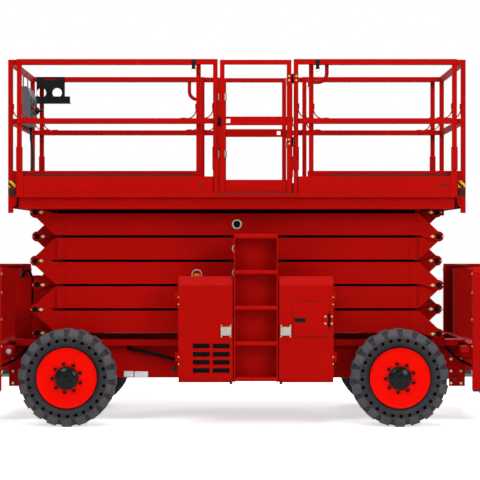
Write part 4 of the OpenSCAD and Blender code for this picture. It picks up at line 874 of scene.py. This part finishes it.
# %% Control lid fittings
LID_Y = -1.1303
slot_plate = block((0.4910, LID_Y - 0.004, 0.899), (0.588, LID_Y + 0.001, 0.933))
pick_faces(slot_plate, lambda c, n: n.y < -0.9)
bpy.ops.mesh.inset(thickness=0.004, depth=0.0)
bpy.ops.mesh.extrude_region_move(TRANSFORM_OT_translate={"value": (0, 0.0035, 0)})
done_editing()
soften(slot_plate, 0.0015, 2)
dress(slot_plate, black_abs, "control_lid").name = "lid_finger_slot"
HINGE_AXIS = (0.7885, -1.128)
HINGE_BOLT_Z = (0.886, 0.946)
barrel = drum((*HINGE_AXIS, 0.9145), 0.0095, 0.112, "Z", vertices=24)
pick_faces(barrel, lambda c, n: abs(n.z) > 0.9)
bpy.ops.mesh.inset(thickness=0.003, depth=0.002, use_individual=True)
done_editing()
soften(barrel, 0.001, 2)
dress(barrel, black_enamel, "door_rear_near").name = "lid_hinge_barrel"
bolts("lid_hinge_bolts", "control_lid", [(0.756, LID_Y, z) for z in HINGE_BOLT_Z], "-Y", 0.014, 0.006)
bolts("lid_leaf_bolts", "door_rear_near", [(0.812, -DOOR_Y, z) for z in HINGE_BOLT_Z], "-Y", 0.014, 0.006)
gasket = block((0.4865, -DOOR_Y - 0.0006, 0.776), (0.7795, -DOOR_Y, 1.063))
round_corners(gasket, 1, 0.022)
dress(gasket, hose_rubber, "door_rear_near").name = "lid_gasket"
print("lid fitted")

# %% [markdown]
# ## Hose ducts
# Hoses and cables climb the stack in flat steel ducts along the inner arms. Their black fills the gaps
# between the stages as painted shade. Each duct is a long box with its edges rounded and its ends drawn in,
# and flat clamp straps hold it to the arm's inner face.

# %% Ducts along the inner arms
INNER_BACK = 0.440
DUCT_HALF_L = 1.585
DUCT_W = 0.060
GAP_TOP = {5: 0.128}
for stage in range(1, 6):
    middle = (PIN_LEVELS[stage - 1] + PIN_LEVELS[stage]) / 2
    top = middle + GAP_TOP.get(stage, 0.1165)
    duct = block((-DUCT_HALF_L, -INNER_BACK, middle + 0.088), (DUCT_HALF_L, -INNER_BACK + DUCT_W, top))
    pick_faces(duct, lambda c, n: abs(n.x) > 0.9)
    bpy.ops.mesh.extrude_region_move(TRANSFORM_OT_translate={"value": (0, 0, 0)})
    bpy.ops.mesh.inset(thickness=0.006, depth=0.010, use_individual=True)
    done_editing()
    straps = []
    for i in range(-3, 4):
        strap = block((0.45 * i - 0.015, -INNER_BACK, middle + 0.050), (0.45 * i + 0.015, -INNER_BACK + 0.004, top - 0.004))
        straps.append(strap)
    soften(duct, 0.004, 2)
    # Black ducts: hose ducts whose black is also painted shade in the gaps between the stages.
    dress(joined([duct] + straps, f"hose_duct_and_gap_shade_{stage}"), black_enamel, f"inner_arm_{stage}")
print("ducts", 5)

# %% [markdown]
# ## Gate and rail fittings
# Strap hinges with plated bolts carry the gates. Black spring clips with wire rings hold the pins of the
# folding rails, and thin curved gussets stiffen the corners of the posts and middle rails.

# %% Gate hinge bolts
RAIL_FACE = 0.905
GATE_POST_X = (-0.207, 0.493)
POST = 0.040
HINGE_Z = (2.423, 2.973)
post_places, gate_places = [], []
for z in HINGE_Z:
    for dz in (0.012, 0.048):
        post_places.append((GATE_POST_X[1] + 0.022, -RAIL_FACE, z + dz))
        gate_places.append((GATE_POST_X[1] - 0.040, -RAIL_FACE, z + dz))
turned_post = [(0.326 - x, -y, z) for x, y, z in post_places]
turned_gate = [(0.326 - x, -y, z) for x, y, z in gate_places]
bolts("hinge_bolts_posts", "platform", post_places + turned_post, ["-Y"] * 4 + ["+Y"] * 4, 0.015, 0.007)
bolts("hinge_bolts_gate_near", "gate_near", [(x, y + 0.0025, z) for x, y, z in gate_places], "-Y", 0.015, 0.007)
bolts("hinge_bolts_gate_far", "gate_far", [(x, y - 0.0025, z) for x, y, z in turned_gate], "+Y", 0.015, 0.007)

# %% Rail clips
def rail_clip(x, y, z, side):
    """A black clip over a rail with a wire ring under it, facing -Y or +Y."""
    tongue = block((-0.017, -0.012, -0.072), (0.017, 0.0, 0.0))
    pick_faces(tongue, lambda c, n: n.z < -0.9)
    bpy.ops.transform.resize(value=(0.9, 1.0, 1.0), center_override=(0, 0, -0.072))
    bpy.ops.mesh.extrude_region_move(TRANSFORM_OT_translate={"value": (0, 0.002, -0.012)})
    done_editing()
    soften(tongue, 0.003, 2)
    face = FACE_TURNS["-Y" if side < 0 else "+Y"]
    tongue.data.transform(Matrix.Translation((x, y, z)) @ face)
    return tongue


def wire_ring(x, y, z, radius, wire):
    """A ring of wire in the X-Z plane."""
    bpy.ops.object.select_all(action="DESELECT")
    bpy.ops.mesh.primitive_torus_add(major_radius=radius, minor_radius=wire, major_segments=24,
                                     minor_segments=8, location=(x, y, z), rotation=(math.pi / 2, 0, 0))
    bpy.ops.object.transform_apply(location=True, rotation=True, scale=True)
    return bpy.context.object


RAIL_TOP = 3.169
MID_TOP = 2.656
clip_x = (-0.375, 0.700)
clips = [rail_clip(x, side * RAIL_FACE, RAIL_TOP - 0.004, side) for x in clip_x for side in (-1, 1)]
rings = [wire_ring(x, side * (RAIL_FACE + 0.006), RAIL_TOP - 0.088, 0.020, 0.002) for x in clip_x for side in (-1, 1)]
dress(joined(clips, "rail_clips"), black_abs, "platform")
dress(joined(rings, "clip_rings"), bright_zinc, "platform")
print("clips", len(clip_x) * 2)

# %% Curved gussets
def gusset(corner, along, radius, width, thick):
    """A quarter strap between a post and a rail: a strip of the near face, spun a quarter turn."""
    x, y, z = corner
    bpy.ops.object.select_all(action="DESELECT")
    bpy.ops.mesh.primitive_cube_add(size=1.0, location=(x + along * radius, y, z + radius))
    strap = bpy.context.object
    strap.scale = (0.001, width, thick)
    bpy.ops.object.transform_apply(location=True, rotation=True, scale=True)
    strap.data.transform(Matrix.Translation((0, 0, -radius)))
    pick_faces(strap, lambda c, n: n.x * along < -0.9)
    bpy.ops.mesh.spin(steps=10, angle=along * -math.pi / 2, center=(x + along * radius, y, z + radius),
                      axis=(0, 1, 0))
    done_editing()
    only(strap)
    bpy.ops.object.mode_set(mode="EDIT")
    bpy.ops.mesh.select_all(action="SELECT")
    bpy.ops.mesh.remove_doubles(threshold=0.0002)
    bpy.ops.mesh.normals_make_consistent(inside=False)
    done_editing()
    xs = sorted((x + along * radius, x + along * (radius + 0.050)))
    rail_pad = block((xs[0], y - width / 2, z), (xs[1], y + width / 2, z + thick))
    xs = sorted((x, x + along * thick))
    post_pad = block((xs[0], y - width / 2, z + radius), (xs[1], y + width / 2, z + radius + 0.045))
    return joined([strap, rail_pad, post_pad], "strap")


RAIL_MID_Y = RAIL_FACE - 0.0225
GUSSET_R = 0.085
GUSSET_T = 0.009
gusset_places = [(-1.868, 1), (GATE_POST_X[0], -1), (GATE_POST_X[1] + POST, 1), (1.868, -1)]
straps = []
for side in (-1, 1):
    for x, along in gusset_places:
        straps.append(gusset((x, side * RAIL_MID_Y, MID_TOP), along, GUSSET_R, 0.030, GUSSET_T))
dress(joined(straps, "rail_gussets"), red_enamel, "platform")
SLIDE_MID_Y = 0.830
for end, xs in (("front", [(-1.950, 1), (-0.354, -1)]), ("rear", [(0.667, 1), (1.950, -1)])):
    straps = [gusset((x, side * SLIDE_MID_Y, MID_TOP), along, GUSSET_R, 0.030, GUSSET_T)
              for side in (-1, 1) for x, along in xs]
    dress(joined(straps, f"slide_gussets_{end}"), red_enamel, f"slide_{end}")
print("gussets", 16)

# %% [markdown]
# ## Hazard marks
# The cheeks of the sliding decks carry a square of yellow and black stripes and a black rubber stop below.
# The stripes are 22 mm wide bands across a diagonal, made by a Wave texture's saw profile cut to two tones.

# %% Hazard paint and stops
def striped_paint(name):
    material, tree, surface, place = start_finish(name, roughness=0.45, specular_ior_level=0.12)
    turned = add_node(tree, "Mapping", {"Vector": place, "Rotation": (0.0, math.radians(45), 0.0)})
    bands = add_node(tree, "TexWave", {"Vector": turned.outputs["Vector"], "Scale": 1 / (0.044 * 3.18)},
                     wave_profile="SAW", bands_direction="X")
    cut = add_node(tree, "Math", {0: bands.outputs["Fac"], 1: 0.5}, operation="GREATER_THAN")
    grime = add_node(tree, "TexNoise", {"Vector": place, "Scale": 1 / 0.03, "Detail": 4.0})
    yellow = blend_colours(tree, grime.outputs["Fac"], linear("#D99A08"), linear("#F0B414"))
    tone = blend_colours(tree, cut.outputs[0], yellow, linear("#101011"))
    tree.links.new(tone, surface.inputs["Base Color"])
    return material


hazard_paint = striped_paint("hazard_striped_paint")
SLIDE_Y = 0.850
for end, sign in (("front", -1), ("rear", 1)):
    xs = sorted((sign * 1.926, sign * 1.986))
    patches, stops = [], []
    for side in (-1, 1):
        ys = sorted((side * SLIDE_Y, side * (SLIDE_Y + 0.0015)))
        patch = block((xs[0], ys[0], 2.058), (xs[1], ys[1], 2.116))
        soften(patch, 0.0004, 1)
        patches.append(patch)
        ys = sorted((side * SLIDE_Y, side * (SLIDE_Y + 0.012)))
        stop = block((xs[0], ys[0], 1.990), (xs[1], ys[1], 2.044))
        soften(stop, 0.006, 3)
        stops.append(stop)
    dress(joined(patches, f"hazard_patches_{end}"), hazard_paint, f"slide_{end}")
    dress(joined(stops, f"rubber_stops_{end}"), hose_rubber, f"slide_{end}")
print("hazard patches", 4)

# %% [markdown]
# ## Ladder treads
# A folded strip of punched plate, painted red, gives grip along the front of every tread. The strip is a
# thin box with softened edges, and the rows of raised teeth are small blocks along it.

# %% Tread strips
TREAD_Z = [0.407 + 0.30575 * i for i in range(5)]
strips = []
for z in TREAD_Z:
    strip = block((LADDER_X[0] + 0.012, -DOOR_Y - 0.002, z - 0.013), (LADDER_X[1] - 0.012, -DOOR_Y + 0.030, z + 0.0165))
    soften(strip, 0.003, 2)
    strips.append(strip)
    for i in range(14):
        x = LADDER_X[0] + 0.028 + 0.0247 * i
        tooth = block((x - 0.006, -DOOR_Y + 0.006, z + 0.016), (x + 0.006, -DOOR_Y + 0.022, z + 0.0195))
        strips.append(tooth)
near_strips = joined(strips, "tread_strips_near")
far_strips = near_and_far([near_strips])[0]
far_strips.name = "tread_strips_far"
for piece in (near_strips, far_strips):
    dress(piece, red_enamel, "chassis")
print("treads", len(TREAD_Z) * 2)

# %% [markdown]
# ## Warning lamp
# An amber lamp stands on the front near cabinet under a grey guard hoop. The lamp is a drum whose top is
# drawn in step by step to a dome; the hoop is a line with two rounded corners and a round section.

# %% Lamp and guard hoop
def bent_line(points, radius, steps=8):
    """A line through the points, with its square corners rounded."""
    line = [Vector(points[0])]
    for before, at, after in zip(points, points[1:], points[2:]):
        corner = Vector(at)
        back = (Vector(before) - corner).normalized()
        on = (Vector(after) - corner).normalized()
        middle = corner + (back + on) * radius
        for i in range(steps + 1):
            turn = i / steps * math.pi / 2
            line.append(middle - on * radius * math.cos(turn) - back * radius * math.sin(turn))
    return line + [Vector(points[-1])]


def pipe(name, line, radius):
    """A round bar along a line, as a mesh."""
    only(round_line(name, line, radius))
    bpy.ops.object.convert(target="MESH")
    return bpy.context.object


LAMP_AT = Vector((-0.3455, -0.980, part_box("beacon")[0][2]))
lamp = drum(LAMP_AT + Vector((0, 0, 0.026)), 0.034, 0.040, "Z", vertices=40)
pick_faces(lamp, lambda c, n: n.z > 0.9)
for inward, rise in ((0.003, 0.012), (0.006, 0.009), (0.009, 0.004)):
    bpy.ops.mesh.inset(thickness=inward, depth=rise)
done_editing()
soften(lamp, 0.002, 2)
dress(lamp, amber_lens, "chassis").name = "amber_lamp"
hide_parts("beacon")
foot = drum(LAMP_AT + Vector((0, 0, 0.003)), 0.046, 0.006, "Z", vertices=40)
soften(foot, 0.001, 2)
HOOP_R = 0.041
hoop_points = [LAMP_AT + Vector(p) for p in ((-HOOP_R, 0, 0), (-HOOP_R, 0, 0.102), (HOOP_R, 0, 0.102), (HOOP_R, 0, 0))]
hoop = pipe("hoop", bent_line(hoop_points, HOOP_R - 0.001), 0.0055)
dress(joined([hoop, foot], "lamp_guard"), grey_enamel, "chassis")
print("lamp at", [round(v, 3) for v in LAMP_AT])

# %% [markdown]
# ## Platform controls
# The control box has a dark panel towards the operator with a joystick in a rubber gaiter, two rows of
# push buttons and a red stop knob. The gaiter is a drum drawn in at the top and ribbed by insets.

# %% Panel, joystick, buttons and knob
BOX_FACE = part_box("control_box")[1][0]
panel = block((BOX_FACE - 0.001, -0.194, 2.708), (BOX_FACE + 0.003, 0.294, 2.902))
soften(panel, 0.002, 2)
rows = [(y, z) for y in (-0.02, 0.03, 0.08, 0.13) for z in (2.765, 2.835)]
buttons = [drum((BOX_FACE + 0.006, y, z), 0.013, 0.014, "X", vertices=20) for y, z in rows]
for button in buttons:
    soften(button, 0.002, 2)
dress(joined([panel] + buttons, "control_panel"), black_abs, "slide_front")
gaiter = drum((BOX_FACE + 0.012, 0.215, 2.800), 0.034, 0.022, "X", vertices=32)
pick_faces(gaiter, lambda c, n: n.x > 0.9)
for inward in (0.008, 0.007):
    bpy.ops.mesh.inset(thickness=inward, depth=-0.003)
    bpy.ops.mesh.inset(thickness=0.002, depth=0.009)
done_editing()
soften(gaiter, 0.0015, 1)
stick = drum((BOX_FACE + 0.030, 0.215, 2.800), 0.007, 0.030, "X", vertices=16)
grip = drum((BOX_FACE + 0.056, 0.215, 2.800), 0.015, 0.030, "X", vertices=24)
soften(grip, 0.008, 4)
dress(joined([gaiter, stick, grip], "joystick"), hose_rubber, "slide_front")
knob = drum((BOX_FACE + 0.020, -0.125, 2.800), 0.020, 0.016, "X", vertices=32)
pick_faces(knob, lambda c, n: n.x < -0.9)
bpy.ops.mesh.inset(thickness=0.007, depth=0.0)
bpy.ops.mesh.extrude_region_move(TRANSFORM_OT_translate={"value": (-0.012, 0, 0)})
done_editing()
soften(knob, 0.003, 3)
dress(knob, red_knob, "slide_front").name = "stop_knob"
print("buttons", len(buttons))

# %% [markdown]
# ## Push handles and gate hardware
# A bent tube on one side of each sliding deck is the handle that pushes it out: down from the top rail,
# round a bend and back to the post. The gates hang on plated leaves and close on a black latch bar.

# %% Push handles
HANDLE_D = 0.034
HANDLES = {"front": ((-0.460, 0.830), -0.334, 2.955), "rear": ((0.783, -0.830), 0.647, 2.975)}
for end, ((x, y), post_x, low_z) in HANDLES.items():
    route = [(x, y, RAIL_TOP - 0.030), (x, y, low_z), (post_x, y, low_z)]
    handle = pipe(f"push_handle_{end}", bent_line(route, 0.075), HANDLE_D / 2)
    dress(handle, red_enamel, f"slide_{end}")
print("handles", len(HANDLES))

# %% Hinge leaves and latch bars
GATE_TURN = Matrix.Translation((0.326, 0, 0)) @ Matrix.Rotation(math.pi, 4, "Z")
post_leaves, gate_leaves = [], []
for z in HINGE_Z:
    low, high = z - 0.027, z + 0.039
    leaf = block((0.500, -0.866, low), (0.509, -0.8445, high))
    soften(leaf, 0.001, 1)
    post_leaves += [leaf, copy_at(leaf, GATE_TURN)]
    leaf = block((0.425, -0.8625, low), (0.469, -0.8485, high))
    soften(leaf, 0.001, 1)
    gate_leaves.append(leaf)
dress(joined(post_leaves, "hinge_leaves_posts"), bright_zinc, "platform")
barrels = [drum((0.482, -0.856, z + 0.030), 0.0108, 0.060, "Z", vertices=24) for z in HINGE_Z]
near_barrels = joined(barrels, "hinge_barrels_near")
far_barrels = copy_at(near_barrels, GATE_TURN)
far_barrels.name = "hinge_barrels_far"
dress(near_barrels, black_enamel, "gate_near")
dress(far_barrels, black_enamel, "gate_far")
near_leaves = joined(gate_leaves, "hinge_leaves_near")
far_leaves = copy_at(near_leaves, GATE_TURN)
far_leaves.name = "hinge_leaves_far"
latch_near = block((-0.165, -0.914, 2.585), (-0.138, -0.900, 2.665))
soften(latch_near, 0.003, 2)
latch_near.name = "gate_latch_near"
latch_far = copy_at(latch_near, GATE_TURN)
latch_far.name = "gate_latch_far"
for side, leaves, latch in (("near", near_leaves, latch_near), ("far", far_leaves, latch_far)):
    dress(leaves, bright_zinc, f"gate_{side}")
    dress(latch, black_enamel, f"gate_{side}")
print("gate leaves", 2 * len(HINGE_Z))

# %% [markdown]
# ## Bolted edges
# Plated bolts run down the covers of the outriggers and hold the end plates and the hinges of the doors.
# Small tabs stand on the deck's edge strip, and dark rubber strips paint the shadow in the slot between
# each toe board and the sliding deck behind it, and along the foot of each gate.

# %% Bolts of the chassis, doors and deck
SIDES = ((-1, "-Y"), (1, "+Y"))
cover_places, cover_ways = [], []
for end in (-1, 1):
    for side in (-1, 1):
        for z in (0.46, 0.69, 0.92, 1.15, 1.31):
            cover_places.append((end * 2.017, side * 1.100, z))
            cover_ways.append("+X" if end < 0 else "-X")
bolts("cover_bolts", "chassis", cover_places, cover_ways, 0.018, 0.008)
plate_places = [(end * x, side * 0.560, z) for side, way in SIDES for end in (-1, 1)
                for x in (1.896, 1.985) for z in (0.333, 0.439, 0.546)]
bolts("end_plate_bolts", "chassis", plate_places, ["-Y"] * 12 + ["+Y"] * 12, 0.020, 0.009)
for end, edge, inward in (("front", OUTER_EDGE, 1), ("rear", CABINET_EDGE[1] + 0.476, -1)):
    for side, way in SIDES:
        name = f"{end}_{'near' if side < 0 else 'far'}"
        places = [(edge + inward * 0.007, side * DOOR_Y, z) for z in (0.54, 0.60, 1.05, 1.11)]
        bolts(f"door_edge_bolts_{name}", f"door_{name}", places, way, 0.009, 0.004)
buffers = []
for side in (-1, 1):
    ys = sorted((side * 1.060, side * 1.090))
    for x in (LADDER_X[0] - 0.005, LADDER_X[1] + 0.005):
        buffer = block((x - 0.0065, ys[0], 0.388), (x + 0.0065, ys[1], 0.452))
        soften(buffer, 0.002, 1)
        buffers.append(buffer)
dress(joined(buffers, "ladder_buffers"), hose_rubber, "chassis")
tabs, slot_shadow_strips, plugs = [], [], []
for side in (-1, 1):
    ys = sorted((side * 0.913, side * 0.927))
    for x in (-1.822, -1.432, -1.030, -0.635, 1.003, 1.432, 1.822):
        tabs.append(block((x - 0.022, ys[0], 2.001), (x + 0.022, ys[1], 2.011)))
    # Dark rubber strips in the slot behind each toe board and along the foot of the gate: painted shadow in those gaps.
    ys = sorted((side * 0.853, side * 0.909))
    for x0, x1 in ((-1.850, -0.390), (0.790, 1.850)):
        slot_shadow_strips.append(block((x0, ys[0], 2.152), (x1, ys[1], 2.164)))
    ys = sorted((side * 0.868, side * 0.905))
    slot_shadow_strips.append(block((-0.166, ys[0], 2.002), (0.492, ys[1], 2.012)))
    for x, z in ((-0.313, 2.076), (1.764, 2.080), (1.808, 2.080)):
        plugs.append(drum((x, side * 0.9155, z), 0.012, 0.003, "Y", vertices=24))
for piece in tabs + slot_shadow_strips:
    soften(piece, 0.002, 1)
dress(joined(tabs, "edge_tabs"), red_enamel, "platform")
dress(joined(slot_shadow_strips + plugs, "toe_slot_shadow_strips_and_plugs"), hose_rubber, "platform")
print("edge bolts", len(cover_places) + len(plate_places), "plugs", len(plugs))

# %% [markdown]
# ## Pipes and trims at the ends
# Black steel pipes carry oil from the frame to the outriggers and bow over the guard at the front. A dark
# rubber trim follows the slanted lower edge of each outrigger cover: a thin box with one end moved up.

# %% Oil pipes
PIPE_R = 0.011
END_ROUTE = [(1.850, -0.572, 0.655), (1.885, -0.590, 0.615), (1.935, -0.605, 0.565), (1.990, -0.630, 0.530),
             (2.040, -0.700, 0.505), (2.075, -0.800, 0.490), (2.110, -0.870, 0.485)]
oil_pipes = []
for end in (-1, 1):
    for side in (-1, 1):
        route = [(end * x, -side * y, z) for x, y, z in END_ROUTE]
        oil_pipes.append(pipe("oil_pipe", smooth_route(route, 4), PIPE_R))
for y in (-0.360, -0.330):
    route = [(-1.965, y, 0.90), (-1.955, y, 1.18), (-1.925, y, 1.29), (-1.885, y, 1.325), (-1.850, y, 1.290),
             (-1.838, y, 1.18), (-1.845, y, 0.90)]
    oil_pipes.append(pipe("guard_pipe", smooth_route(route, 5), PIPE_R))
SIDE_ROUTE = [(-0.965, -0.556, 0.652), (-0.930, -0.598, 0.634), (-0.740, -0.605, 0.595), (-0.550, -0.605, 0.545),
              (-0.500, -0.556, 0.530)]
oil_pipes.append(pipe("side_pipe", smooth_route(SIDE_ROUTE, 5), 0.015))
dress(joined(oil_pipes, "oil_pipes"), black_enamel, "chassis")
guard = block((-2.020, 0.700, 0.672), (-1.815, 0.708, 1.110))
soften(guard, 0.002, 2)
dress(guard, red_enamel, "chassis").name = "far_pipe_guard"
anodised = bare_metal("anodised_plate", "#C6C7CC", "#B0B1B6", 0.45, 25.0, (1.0, 1.0, 1.0))
plates = [block((x0, -0.5625, z0), (x1, -0.5595, z0 + 0.052)) for x0, x1, z0 in
          ((-1.001, -0.916, 0.387), (-0.908, -0.788, 0.384))]
for plate in plates:
    soften(plate, 0.001, 1)
dress(joined(plates, "blank_plates"), anodised, "chassis")
side_plug = drum((-0.552, -0.5625, 0.461), 0.021, 0.007, "Y", vertices=28)
soften(side_plug, 0.002, 2)
dress(side_plug, hose_rubber, "chassis").name = "frame_plug"

# %% Cover trims and dust caps
trims = []
for end in (-1, 1):
    for side in (-1, 1):
        xs = sorted((end * 2.123, end * 2.440))
        ys = sorted((side * 1.075, side * 1.131))
        slant = block((xs[0], ys[0], 0.304), (xs[1], ys[1], 0.320))
        pick_faces(slant, lambda c, n: n.x * end > 0.9)
        bpy.ops.transform.translate(value=(0, 0, 0.085))
        done_editing()
        xs = sorted((end * 2.020, end * 2.123))
        flat = block((xs[0], ys[0], 0.304), (xs[1], ys[1], 0.320))
        trims += [slant, flat]
dress(joined(trims, "cover_trims"), hose_rubber, "chassis")
caps = [drum((-1.985, side * 0.857, 0.630), 0.022, 0.018, "Y", vertices=28) for side in (-1, 1)]
for cap in caps:
    soften(cap, 0.004, 3)
dust_cap = moulded_plastic("pale_polyethylene_cap", "#C8CFDA", "#AEB8C8", 0.45)
dress(joined(caps, "dust_caps"), dust_cap, "chassis")
feet = [block((x - 0.012, -1.116, 0.366), (x + 0.012, -1.060, 0.382)) for x in (-0.050, 0.378)]
for foot in feet:
    soften(foot, 0.003, 2)
feet += near_and_far(feet)
dress(joined(feet, "cabinet_feet"), hose_rubber, "chassis")
print("pipes", len(oil_pipes), "trims", len(trims))
